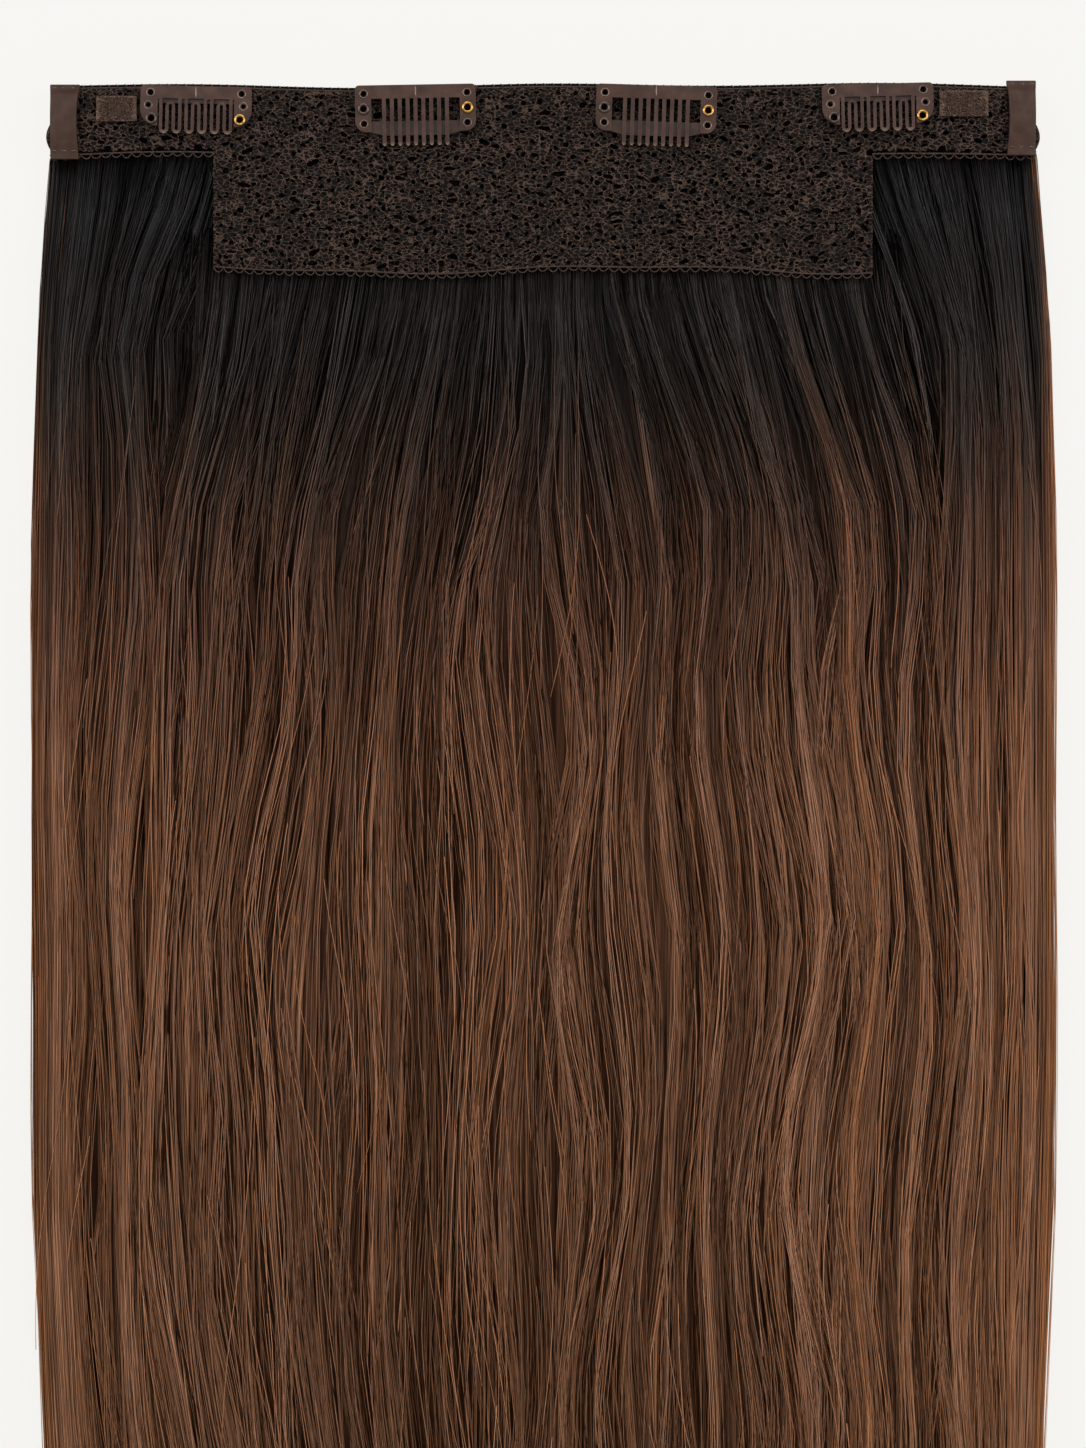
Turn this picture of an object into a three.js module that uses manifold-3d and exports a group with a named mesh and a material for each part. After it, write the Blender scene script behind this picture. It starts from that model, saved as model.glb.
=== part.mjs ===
// A halo hair extension lying on a table with its inner side up. A stretch lace base carries snap
// clips, wire loops and hook-and-loop patches, and two rows of hair are sewn beneath it.
// Millimetres. X runs along the lace band, Y from the hair tips to the band, Z up from the table.
// The origin is on the table under the middle of the whole piece.
import * as THREE from "three";
import { mergeVertices } from "three/addons/utils/BufferGeometryUtils.js";
import Module from "manifold-3d";

// Driving dimensions
const LENGTH = 508; // top of the wire loops to the longest hair tips
const HAIR_WIDTH = 311; // widest spread of the hair
const BAND_WIDTH = 299; // lace band, end to end
const BAND_DEPTH = 20; // band's top edge to its lower edge, without the scallops
const PANEL_WIDTH = 200; // deeper middle part of the lace
const PANEL_DEPTH = 55; // band's top edge to the panel's lower edge, without the scallops
const LACE_THICKNESS = 1.2;
const LACE_UNDERSIDE = 7; // height of the lace above the table, on top of the hair
const PLATE = 0.7; // sheet steel of the clips
const GAP = 0.3; // clearance between pieces that lie on each other

const TOP = LENGTH / 2; // Y of the highest edge
const LACE_TOP_EDGE = TOP - 2; // Y of the band's top edge
const LACE_FACE = LACE_UNDERSIDE + LACE_THICKNESS;

const COLOURS = {
  lace: 0x3a2d29,
  hair: 0x3f2a1e,
  tab: 0x4d3b34,
  patch: 0x43332d,
  steel: 0x52403a,
  brass: 0xc99b57,
};
const wasm = await Module();
wasm.setup();

const halo = new THREE.Group();
halo.name = "halo_hair_extension";

function addPiece(parent, name, geometry, color, roughness, metalness = 0) {
  const material = new THREE.MeshStandardMaterial({ color, roughness, metalness });
  const mesh = new THREE.Mesh(geometry, material);
  mesh.name = name;
  parent.add(mesh);
  return mesh;
}

// A closed geometry as a solid, and a solid as a geometry
function solidOf(geometry) {
  const bare = geometry.clone();
  bare.deleteAttribute("normal");
  bare.deleteAttribute("uv");
  const merged = mergeVertices(bare, 1e-4);
  const triVerts = new Uint32Array(merged.index.array);
  return new wasm.Manifold(
    new wasm.Mesh({ numProp: 3, vertProperties: merged.attributes.position.array, triVerts }),
  );
}

function geometryOf(solid) {
  const { vertProperties, triVerts } = solid.getMesh();
  const geometry = new THREE.BufferGeometry();
  geometry.setAttribute("position", new THREE.BufferAttribute(vertProperties, 3));
  geometry.setIndex(new THREE.BufferAttribute(triVerts, 1));
  geometry.computeVertexNormals();
  return geometry;
}

function sheet(shape, thickness, curveSegments = 3) {
  return new THREE.ExtrudeGeometry(shape, { depth: thickness, bevelEnabled: false, curveSegments });
}

// Straight-line interpolation in a table whose rows are [place, value]
function lookUp(table, place) {
  const next = table.findIndex(([at]) => at >= place);
  if (next === 0) return table[0][1];
  if (next < 0) return table.at(-1)[1];
  const [[a, from], [b, to]] = [table[next - 1], table[next]];
  return THREE.MathUtils.mapLinear(place, a, b, from, to);
}

// A repeatable value from 0 to 1 for the unevenness of lock number n
function uneven(n) {
  const wide = Math.sin(n * 12.9898) * 43758.5453;
  return wide - Math.floor(wide);
}

// Hair
// Each row of hair is a curtain of locks. A place across the hair is a share from -1 to 1, taken
// where it lies widest, and a place along it is its drop below the top edge.
const HALF_SPREAD = [
  // drop, half the hair's width as a share of the widest
  [0, 0.955],
  [25, 0.967],
  [70, 0.986],
  [140, 1],
  [340, 0.995],
  [LENGTH, 0.95],
];
const WAVE_SIZE = [
  // drop, sideways swing of the locks
  [0, 0],
  [40, 0.4],
  [120, 2.6],
  [LENGTH, 3.4],
];
// Each lock swings with its own phase, which drifts and sways smoothly across the hair. The outermost
// locks hang nearly straight.
const WAVE = { length: 165, drift: 5, sway: 2.1, swayRate: 4.3, straightEdge: 8 };
// Between two drops the locks spread outwards, by up to a share of half the hair's width.
const FAN = { size: 0.16, from: 55, to: 215 };
const TIP_UNEVENNESS = 20; // how much shorter than the longest a lock may be
const LOCK_PROFILE = [
  // share of the lock's width, share of its crown's height, how far it ends short of the tip
  { across: 0, height: 0.62, short: 24 },
  { across: 0.22, height: 0.9, short: 8 },
  { across: 0.5, height: 1, short: 0 },
  { across: 0.78, height: 0.88, short: 9 },
];
const ALONG = [0, 0.028, 0.06, 0.11, 0.18, 0.26, 0.35, 0.44, 0.53, 0.62, 0.71, 0.8, 0.88, 0.95, 1];

function hairX(share, drop) {
  const { length, drift, sway, swayRate, straightEdge } = WAVE;
  const swing = lookUp(WAVE_SIZE, drop) * (1 - share ** straightEdge);
  const phase = drift * share + sway * Math.sin(swayRate * share);
  const gathered = 1 - THREE.MathUtils.smoothstep(drop, FAN.from, FAN.to);
  const place = share - FAN.size * Math.sin(Math.PI * share) * gathered;
  const spread = (place * lookUp(HALF_SPREAD, drop) * HAIR_WIDTH) / 2;
  return spread + swing * Math.sin((2 * Math.PI * drop) / length + phase);
}

// Columns across a row of locks: each has its share, its height share and the drop of its end
function lockColumns(sections, seed, longest) {
  const columns = [];
  let lock = seed;
  for (const { from, to, locks, crown } of sections) {
    for (let n = 0; n < locks; n++, lock++) {
      const width = (to - from) / locks;
      const tip = longest - TIP_UNEVENNESS * uneven(lock);
      for (const { across, height, short } of LOCK_PROFILE) {
        const share = from + width * (n + across);
        columns.push({ share, height, crown, end: tip - short });
      }
    }
  }
  columns.push({ ...columns[0], share: sections.at(-1).to });
  const firstCrown = columns.find(({ height }) => height === 1);
  firstCrown.end = longest;
  return columns;
}

// The closed solid between a grid of points and a flat underside. Row 0 of the grid is the head.
function slabUnder(grid, underside) {
  const rows = grid.length;
  const columns = grid[0].length;
  const at = (row, column) => row * columns + column;
  const rim = [];
  for (let row = 0; row < rows; row++) rim.push(at(row, 0));
  for (let column = 1; column < columns; column++) rim.push(at(rows - 1, column));
  for (let row = rows - 2; row >= 0; row--) rim.push(at(row, columns - 1));
  for (let column = columns - 2; column > 0; column--) rim.push(at(0, column));

  const points = grid.flat();
  const below = points.length;
  const contour = rim.map((index) => new THREE.Vector2(points[index].x, points[index].y));
  for (const { x, y } of contour) points.push(new THREE.Vector3(x, y, underside));

  const faces = [];
  for (let row = 0; row < rows - 1; row++) {
    for (let column = 0; column < columns - 1; column++) {
      const [a, b] = [at(row, column), at(row, column + 1)];
      const [c, d] = [at(row + 1, column), at(row + 1, column + 1)];
      faces.push(a, c, d, a, d, b);
    }
  }
  rim.forEach((index, n) => {
    const next = (n + 1) % rim.length;
    faces.push(index, below + n, below + next, index, below + next, rim[next]);
  });
  for (const [a, b, c] of THREE.ShapeUtils.triangulateShape(contour, [])) {
    faces.push(below + c, below + b, below + a);
  }
  return new THREE.BufferGeometry().setFromPoints(points).setIndex(faces);
}

function hairCurtain({ sections, seed, head, longest, underside, crownByDrop }) {
  const columns = lockColumns(sections, seed, longest);
  const grid = ALONG.map((along) =>
    columns.map(({ share, height, crown, end }) => {
      const drop = THREE.MathUtils.lerp(head, end, along);
      const rise = (lookUp(crownByDrop, drop) - underside) * crown * height;
      return new THREE.Vector3(hairX(share, drop), TOP - drop, underside + rise);
    }),
  );
  return slabUnder(grid, underside);
}

function block(width, top, bottom, low, high) {
  const box = new THREE.BoxGeometry(width, top - bottom, high - low);
  return box.translate(0, (top + bottom) / 2, (low + high) / 2);
}

// The upper row is sewn along the whole band. Under the panel its locks lie low.
const UPPER_WEFT = {
  sections: [
    { from: -1, to: -0.795, locks: 4, crown: 1 },
    { from: -0.795, to: 0.795, locks: 10, crown: 0.58 },
    { from: 0.795, to: 1, locks: 4, crown: 1 },
  ],
  seed: 3,
  head: 4,
  longest: LENGTH,
  underside: 0,
  crownByDrop: [
    [0, 6.6],
    [31, 6.6],
    [60, 8],
    [400, 7.8],
    [470, 4.4],
    [LENGTH, 0.9],
  ],
};
// The lower row is sewn along the panel's lower edge, on a backing that fills the panel.
const LOWER_WEFT = {
  sections: [{ from: -0.77, to: 0.77, locks: 14, crown: 1 }],
  seed: 40,
  head: 50,
  longest: LENGTH - 14,
  underside: 5,
  crownByDrop: [
    [0, LACE_UNDERSIDE - GAP],
    [62, LACE_UNDERSIDE - GAP],
    [84, 9.6],
    [380, 9.2],
    [450, 7],
    [LENGTH, 5.8],
  ],
};
const WEFT_SEAM = { width: BAND_WIDTH - 6, depth: 4, low: 0.6, high: 4.4 };
const WEFT_BACKING = { width: PANEL_WIDTH - 8, top: TOP - 8, bottom: TOP - 54 };

function upperWeft() {
  const { width, depth, low, high } = WEFT_SEAM;
  const seamTop = TOP - UPPER_WEFT.head + 1;
  const seam = block(width, seamTop, seamTop - depth, low, high);
  return geometryOf(solidOf(hairCurtain(UPPER_WEFT)).add(solidOf(seam)));
}

function lowerWeft() {
  const { width, top, bottom } = WEFT_BACKING;
  const backing = block(width, top, bottom, LOWER_WEFT.underside, LACE_UNDERSIDE - GAP);
  return geometryOf(solidOf(hairCurtain(LOWER_WEFT)).add(solidOf(backing)));
}

addPiece(halo, "upper_weft", upperWeft(), COLOURS.hair, 0.5);
addPiece(halo, "lower_weft", lowerWeft(), COLOURS.hair, 0.5);

// Lace base: a band with a deeper panel in the middle, and scallops along its lower edges
const SCALLOP_PITCH = 3.1;
const SCALLOP_DROP = 1.3;
const SCALLOP_STEPS = 3;
const END_BULGE = { size: 1.5, from: TOP - 21, to: TOP - 12 };

const TOP_EDGE_STEPS = 24;
const BAND_HEM_SHARE = 0.3; // the band's lower edge ripples less than the panel's
const TOP_RIPPLES = [
  { size: 0.5, length: 107, phase: 1.6 },
  { size: 0.35, length: 258, phase: 0 },
];
const HEM_RIPPLES = [
  { size: 1.1, length: 138, phase: 0.4 },
  { size: 0.4, length: 57, phase: 1.6 },
];

function rippleAt(x, ripples) {
  return ripples.reduce((sum, { size, length, phase }) => {
    return sum + size * Math.sin((2 * Math.PI * x) / length + phase);
  }, 0);
}

function scallopedEdge(shape, fromX, toX, edgeY) {
  const count = Math.round(Math.abs(toX - fromX) / SCALLOP_PITCH);
  for (let step = 0; step <= count * SCALLOP_STEPS; step++) {
    const x = THREE.MathUtils.lerp(fromX, toX, step / (count * SCALLOP_STEPS));
    const drop = SCALLOP_DROP * Math.sin((Math.PI * (step % SCALLOP_STEPS)) / SCALLOP_STEPS);
    shape.lineTo(x, edgeY(x) - drop);
  }
}

function laceBase() {
  const end = BAND_WIDTH / 2;
  const side = PANEL_WIDTH / 2;
  const bandHem = (x) => LACE_TOP_EDGE - BAND_DEPTH + BAND_HEM_SHARE * rippleAt(x, HEM_RIPPLES);
  const panelHem = (x) => LACE_TOP_EDGE - PANEL_DEPTH + rippleAt(x, HEM_RIPPLES);
  const { size, from, to } = END_BULGE;
  const middle = (from + to) / 2;

  const outline = new THREE.Shape();
  outline.moveTo(-end, LACE_TOP_EDGE);
  outline.lineTo(-end, to);
  outline.quadraticCurveTo(-end - 2 * size, middle, -end, from);
  scallopedEdge(outline, -end, -side, bandHem);
  scallopedEdge(outline, -side, side, panelHem);
  scallopedEdge(outline, side, end, bandHem);
  outline.lineTo(end, from);
  outline.quadraticCurveTo(end + 2 * size, middle, end, to);
  outline.lineTo(end, LACE_TOP_EDGE);
  for (let n = 1; n < TOP_EDGE_STEPS; n++) {
    const x = THREE.MathUtils.lerp(end, -end, n / TOP_EDGE_STEPS);
    outline.lineTo(x, LACE_TOP_EDGE + rippleAt(x, TOP_RIPPLES));
  }
  return sheet(outline, LACE_THICKNESS).translate(0, 0, LACE_UNDERSIDE);
}

addPiece(halo, "lace_base", laceBase(), COLOURS.lace, 0.9);

// Wire loops: a leather strip at each end of the band, sewn down at its top and bottom and bowed
// between, so that a wire can pass under it
const TAB = { width: 9, height: 22.6, thickness: 1.1, sewn: 3, bow: 1.1, waist: 0.6, margin: 1 };
const BOW_STEPS = 4;
const TABS = [
  { name: "wire_tab_left", x: -144.8, top: TOP - 1.2, inner: 1 },
  { name: "wire_tab_right", x: 144.8, top: TOP, inner: -1 },
];

function wireTab({ inner }) {
  const { width, height, thickness, sewn, bow, waist, margin } = TAB;
  // The strip seen along the band: flat at its two sewn ends, bowed up between them
  const bowed = new THREE.Shape();
  bowed.moveTo(0, 0);
  bowed.lineTo(-sewn, 0);
  bowed.quadraticCurveTo(-height / 2, 2 * bow, sewn - height, 0);
  bowed.lineTo(-height, 0);
  bowed.lineTo(-height, thickness);
  bowed.lineTo(sewn - height, thickness);
  bowed.quadraticCurveTo(-height / 2, thickness + 2 * bow, -sewn, thickness);
  bowed.lineTo(0, thickness);
  const strip = sheet(bowed, 2 * width, BOW_STEPS);
  strip.rotateY(Math.PI / 2).rotateX(Math.PI / 2).translate(-width, 0, 0);

  // The strip seen from above: its inner edge is drawn in at the waist
  const side = (inner * width) / 2;
  const plan = new THREE.Shape();
  plan.moveTo(-side, margin);
  plan.lineTo(-side, -height - margin);
  plan.lineTo(side, -height - margin);
  plan.quadraticCurveTo(side - 2 * inner * waist, -height / 2, side, margin);
  const cutter = sheet(plan, 2 * height).translate(0, 0, -height);
  return geometryOf(solidOf(strip).intersect(solidOf(cutter)));
}

for (const tab of TABS) {
  const mesh = addPiece(halo, tab.name, wireTab(tab), COLOURS.tab, 0.6);
  mesh.position.set(tab.x, tab.top, LACE_FACE + GAP);
}

// Hook-and-loop patches, sewn beside the wire loops
const PATCH_THICKNESS = 1.1;
const PATCH_CORNER = 0.8;
const PATCHES = [
  { name: "patch_left", x: -129.3, y: 245.6, width: 12.4, height: 7.8 },
  { name: "patch_right", x: 127.6, y: 247.2, width: 15, height: 7.9 },
];

function patch({ width, height }) {
  const [x, y, r] = [width / 2, height / 2, PATCH_CORNER];
  const outline = new THREE.Shape();
  outline.moveTo(x - r, -y);
  outline.absarc(x - r, r - y, r, -Math.PI / 2, 0);
  outline.absarc(x - r, y - r, r, 0, Math.PI / 2);
  outline.absarc(r - x, y - r, r, Math.PI / 2, Math.PI);
  outline.absarc(r - x, r - y, r, Math.PI, 1.5 * Math.PI);
  return sheet(outline, PATCH_THICKNESS, 2);
}

for (const each of PATCHES) {
  const mesh = addPiece(halo, each.name, patch(each), COLOURS.patch, 0.95);
  mesh.position.set(each.x, each.y, LACE_FACE + GAP);
}

// Snap clips: a frame that is sewn to the lace, a comb plate that opens from it about its back
// edge, and two eyelets in the comb plate. A loop clip has teeth bent as U loops, a comb clip has
// straight teeth.
const EYELET = {
  barrel: 1,
  bore: 0.7,
  flange: 1.8,
  lift: 0.2,
  height: 0.55,
  edge: 0.3,
  lip: 0.2,
  sides: 10,
};
const CLIP_STYLES = {
  loop: {
    width: 33.6,
    depth: 12.2,
    spine: 4,
    lobe: 5.2,
    corner: 5,
    barWidth: 0.95,
    barPitch: 1.93,
    groups: 3,
    archDrop: 2.1, // spine's edge to the middle of the arch between two U loops
    slotDrop: 1.6, // spine's edge to the top of the slot inside that arch
    windowRise: 0.2, // how far the window over the arch cuts into the spine
    railDrop: 1.1, // how far the frame's rail shows below the spine
    reach: 2.2, // how far the teeth pass the plate's lower edge
    eyeletY: -3.9,
    eyeletInset: 3.4,
    holes: [
      // inset from the end, height from the middle, radius
      { inset: 3, y: 4, radius: 1 },
      { inset: 2.4, y: 0.2, radius: 0.8 },
    ],
  },
  comb: {
    width: 36.5,
    depth: 14.2,
    spine: 4.1,
    lobe: 4.8,
    corner: 3.2,
    toothWidth: 1.15,
    toothPitch: 2.38,
    teeth: 9,
    barDepth: 4.4, // the frame's bar behind the teeth
    barDrop: 1, // how far that bar hangs below the plate's lower edge
    barShare: 0.7, // its straight lower edge as a share of the space between the lobes
    reach: 4.2,
    eyeletY: -0.1,
    eyeletInset: 2.5,
    holes: [
      { inset: 2.6, y: 4.5, radius: 1 },
      { inset: 2.6, y: -4.6, radius: 1 },
    ],
  },
};
const CLIPS = [
  { style: "loop", x: -105.1, y: 246.1, turn: -1.2 },
  { style: "comb", x: -38.6, y: 245.6, turn: 1 },
  { style: "comb", x: 34.3, y: 245.4, turn: -1.8 },
  { style: "loop", x: 101.4, y: 246.9, turn: 1.4 },
];
const TOP_CORNER = 1.2;

// Fingers hang from the spine: each has its middle, its width, and the top of the slot on its left
function fingersOf(style) {
  const spineEdge = style.depth / 2 - style.spine;
  if (style.teeth) {
    return Array.from({ length: style.teeth }, (_, n) => ({
      middle: (n - (style.teeth - 1) / 2) * style.toothPitch,
      width: style.toothWidth,
      slotTop: spineEdge,
    }));
  }
  const loops = 2 * style.groups;
  return Array.from({ length: loops }, (_, n) => ({
    middle: (n - (loops - 1) / 2) * 2 * style.barPitch,
    width: style.barPitch + style.barWidth,
    slotTop: n % 2 === 1 ? spineEdge - style.slotDrop : spineEdge,
  }));
}

// The outer edge of a plate from its lower left inner corner, round the top, to the lower right
function plateEdge(outline, { width, depth, lobe, corner }) {
  const [x, y, r] = [width / 2, depth / 2, corner];
  outline.moveTo(lobe - x, -y);
  outline.lineTo(r - x, -y);
  outline.absarc(r - x, r - y, r, 1.5 * Math.PI, Math.PI, true);
  outline.absarc(TOP_CORNER - x, y - TOP_CORNER, TOP_CORNER, Math.PI, Math.PI / 2, true);
  outline.absarc(x - TOP_CORNER, y - TOP_CORNER, TOP_CORNER, Math.PI / 2, 0, true);
  outline.absarc(x - r, r - y, r, 0, -Math.PI / 2, true);
  outline.lineTo(x - lobe, -y);
}

function roundHole(shape, x, y, radius) {
  shape.holes.push(new THREE.Path().absarc(x, y, radius, 0, 2 * Math.PI));
}

// The holes in both lobes, for the sewing thread and for the eyelets
function lobeHoles(shape, { width, holes, eyeletInset, eyeletY }) {
  for (const end of [-1, 1]) {
    for (const { inset, y, radius } of holes) {
      roundHole(shape, end * (width / 2 - inset), y, radius);
    }
    roundHole(shape, end * (width / 2 - eyeletInset), eyeletY, EYELET.barrel + GAP);
  }
}

// The window inside a group of two U loops, which runs over the arch between them
function loopWindow(shape, style, middle) {
  const { barPitch, barWidth, depth, spine, reach, archDrop, windowRise } = style;
  const spineEdge = depth / 2 - spine;
  const inner = (barPitch - barWidth) / 2;
  const bendY = -depth / 2 - reach + (barPitch + barWidth) / 2;
  const archY = spineEdge - archDrop;
  const archRadius = (barPitch + barWidth) / 2;
  const windowTop = spineEdge + windowRise;
  const window = new THREE.Path();
  window.moveTo(middle - barPitch - inner, windowTop);
  window.lineTo(middle - barPitch - inner, bendY);
  window.absarc(middle - barPitch, bendY, inner, Math.PI, 2 * Math.PI);
  window.absarc(middle, archY, archRadius, Math.PI, 0, true);
  window.absarc(middle + barPitch, bendY, inner, Math.PI, 2 * Math.PI);
  window.lineTo(middle + barPitch + inner, windowTop);
  shape.holes.push(window);
}

function combPlate(style) {
  const { width, depth, spine, lobe, reach, groups, barPitch } = style;
  const spineEdge = depth / 2 - spine;
  const outline = new THREE.Shape();
  plateEdge(outline, style);
  outline.lineTo(width / 2 - lobe, spineEdge);
  for (const { middle, width: across, slotTop } of fingersOf(style).reverse()) {
    const half = across / 2;
    const bendY = -depth / 2 - reach + half;
    outline.lineTo(middle + half, outline.currentPoint.y);
    outline.absarc(middle, bendY, half, 0, -Math.PI, true);
    outline.lineTo(middle - half, slotTop);
  }
  outline.lineTo(lobe - width / 2, outline.currentPoint.y);
  lobeHoles(outline, style);
  for (let n = 0; n < (groups ?? 0); n++) {
    loopWindow(outline, style, (n - (groups - 1) / 2) * 4 * barPitch);
  }
  return sheet(outline, PLATE);
}

// The frame is open behind the teeth. On a comb clip a bar closes it below, on a loop clip a rail
// runs behind the arches.
function clipFrame(style) {
  const { width, depth, spine, lobe } = style;
  const inner = width / 2 - lobe;
  const spineEdge = depth / 2 - spine;
  const outline = new THREE.Shape();
  plateEdge(outline, style);
  if (style.teeth) {
    const { barDepth, barDrop, barShare } = style;
    const barEdge = -depth / 2 - barDrop;
    outline.lineTo(inner * barShare, barEdge);
    outline.lineTo(-inner * barShare, barEdge);
    const window = new THREE.Path();
    window.moveTo(-inner, spineEdge);
    window.lineTo(-inner, barEdge + barDepth);
    window.lineTo(inner, barEdge + barDepth);
    window.lineTo(inner, spineEdge);
    outline.holes.push(window);
  } else {
    outline.lineTo(inner, spineEdge - style.railDrop);
    outline.lineTo(-inner, spineEdge - style.railDrop);
  }
  lobeHoles(outline, style);
  return sheet(outline, PLATE);
}

// A flanged eyelet whose barrel stands in the comb plate
function eyelet() {
  const { barrel, bore, flange, lift, height, edge, lip, sides } = EYELET;
  const seat = PLATE + lift;
  const section = [
    // radius, height
    [bore, 0],
    [barrel, 0],
    [barrel, seat],
    [flange, seat],
    [flange - edge, seat + height],
    [bore + lip, seat + height],
    [bore, 0],
  ];
  const profile = section.map(([radius, z]) => new THREE.Vector2(radius, z));
  return new THREE.LatheGeometry(profile, sides).rotateX(Math.PI / 2);
}

CLIPS.forEach(({ style, x, y, turn }, index) => {
  const clip = new THREE.Group();
  clip.position.set(x, y, LACE_FACE + GAP);
  clip.rotation.z = THREE.MathUtils.degToRad(turn);
  halo.add(clip);

  const name = `clip_${index + 1}`;
  const sizes = CLIP_STYLES[style];
  const combHeight = PLATE + GAP;
  addPiece(clip, `${name}_frame`, clipFrame(sizes), COLOURS.steel, 0.35, 0.4);
  addPiece(clip, `${name}_comb`, combPlate(sizes), COLOURS.steel, 0.35, 0.4).position.z = combHeight;
  const ends = [
    { end: -1, piece: "rivet", color: COLOURS.steel },
    { end: 1, piece: "eyelet", color: COLOURS.brass },
  ];
  for (const { end, piece, color } of ends) {
    const ring = addPiece(clip, `${name}_${piece}`, eyelet(), color, 0.3, 0.8);
    ring.position.set(end * (sizes.width / 2 - sizes.eyeletInset), sizes.eyeletY, combHeight);
  }
});

export default halo;
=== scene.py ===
# A halo hair extension that lies inner side up on a pale table: long hair on two wefts, a T-shaped
# lace base, leather wire loops, hook-and-loop patches and four sprung snap clips.
import math

import bmesh
import bpy
import numpy as np
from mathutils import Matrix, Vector, geometry


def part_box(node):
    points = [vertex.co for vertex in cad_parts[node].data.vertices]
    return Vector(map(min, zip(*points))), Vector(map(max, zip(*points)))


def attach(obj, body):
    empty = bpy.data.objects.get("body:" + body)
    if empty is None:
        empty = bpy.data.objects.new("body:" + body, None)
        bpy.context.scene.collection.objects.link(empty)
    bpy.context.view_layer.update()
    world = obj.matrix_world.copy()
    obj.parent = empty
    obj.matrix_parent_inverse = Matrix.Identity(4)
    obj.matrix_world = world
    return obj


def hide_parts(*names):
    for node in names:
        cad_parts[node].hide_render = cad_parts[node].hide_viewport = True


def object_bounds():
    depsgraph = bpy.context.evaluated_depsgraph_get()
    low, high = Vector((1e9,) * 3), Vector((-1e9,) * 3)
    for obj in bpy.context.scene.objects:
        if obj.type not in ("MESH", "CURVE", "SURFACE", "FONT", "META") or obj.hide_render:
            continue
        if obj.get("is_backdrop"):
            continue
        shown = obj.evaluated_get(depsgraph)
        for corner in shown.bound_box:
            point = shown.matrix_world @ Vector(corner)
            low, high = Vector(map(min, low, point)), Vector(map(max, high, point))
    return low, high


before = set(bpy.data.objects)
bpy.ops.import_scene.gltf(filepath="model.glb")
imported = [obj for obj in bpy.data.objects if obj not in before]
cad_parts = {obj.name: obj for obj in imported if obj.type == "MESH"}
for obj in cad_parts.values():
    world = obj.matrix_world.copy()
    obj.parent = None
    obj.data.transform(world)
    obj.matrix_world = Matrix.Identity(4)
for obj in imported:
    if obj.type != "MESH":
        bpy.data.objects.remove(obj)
cad_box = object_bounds()
MM = 0.001

# Camera
# The photograph was taken from straight above, with the band at the top of the frame. Its scale is
# known at the lace, and a long lens keeps the edges of the piece upright.
PHOTO_HEIGHT_PIXELS = 1448
PIXEL_SIZE = 0.3033 * MM
VIEW_CENTRE_Y = 59.1 * MM
LENS = 85
SENSOR = 36

camera_data = bpy.data.cameras.new("camera")
camera_data.sensor_fit = "VERTICAL"
camera_data.sensor_height = SENSOR
camera_data.lens = LENS
camera_data.clip_end = 20
camera = bpy.data.objects.new("camera", camera_data)
view_height = PHOTO_HEIGHT_PIXELS * PIXEL_SIZE
lace_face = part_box("lace_base")[1].z
camera.location = (0, VIEW_CENTRE_Y, lace_face + view_height * LENS / SENSOR)
bpy.context.collection.objects.link(camera)
bpy.context.scene.camera = camera

# Table and studio light
# A pale light table, lit evenly from within, under wide soft boxes and the light of a white tent.
FLOOR_COLOUR = "f5f4f0"
FLOOR_GLOW = 0.95
FLOOR_REACH = 3
TENT_LIGHT = 0.34
LIGHT_AIM = Vector((0, 0.06, 0))
SOFT_BOXES = [
    # name, place in metres, width and height in metres, power in watts
    ("left_soft_box", (-1.0, 0.5, 1.1), (0.8, 1.2), 10.5),
    ("right_soft_box", (1.0, 0.3, 1.1), (0.8, 1.2), 11.5),
    ("back_soft_box", (0.0, 1.3, 1.0), (1.2, 0.6), 9.5),
]


def linear(hex_colour):
    """An sRGB hex colour as the linear red, green, blue and alpha that a shader socket takes."""
    channels = [int(hex_colour[n : n + 2], 16) / 255 for n in (0, 2, 4)]
    curve = [c / 12.92 if c <= 0.04045 else ((c + 0.055) / 1.055) ** 2.4 for c in channels]
    return (*curve, 1)


def add_node(tree, kind, links=(), **settings):
    """Adds a node, sets its properties and inputs by name, and links (from socket, to input)."""
    node = tree.nodes.new(kind)
    for key, value in settings.items():
        if key in node.inputs:
            node.inputs[key].default_value = value
        elif key.replace("_", " ") in node.inputs:
            node.inputs[key.replace("_", " ")].default_value = value
        else:
            setattr(node, key, value)
    for source, target in links:
        tree.links.new(source, node.inputs[target])
    return node


def new_material(name, **finish):
    """A node material, its tree and the shader that its output reads, with the finish set on it."""
    material = bpy.data.materials.new(name)
    material.use_nodes = True
    tree = material.node_tree
    tree.nodes.clear()
    shader = add_node(tree, "ShaderNodeBsdfPrincipled", **finish)
    add_node(tree, "ShaderNodeOutputMaterial", [(shader.outputs["BSDF"], "Surface")])
    return material, tree, shader


def piece_from(name, bm, material, smooth=True):
    """A mesh object at the origin from a bmesh, which is freed."""
    mesh = bpy.data.meshes.new(name)
    bm.to_mesh(mesh)
    bm.free()
    mesh.materials.append(material)
    mesh.polygons.foreach_set("use_smooth", [smooth] * len(mesh.polygons))
    piece = bpy.data.objects.new(name, mesh)
    bpy.context.collection.objects.link(piece)
    return piece


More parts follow.
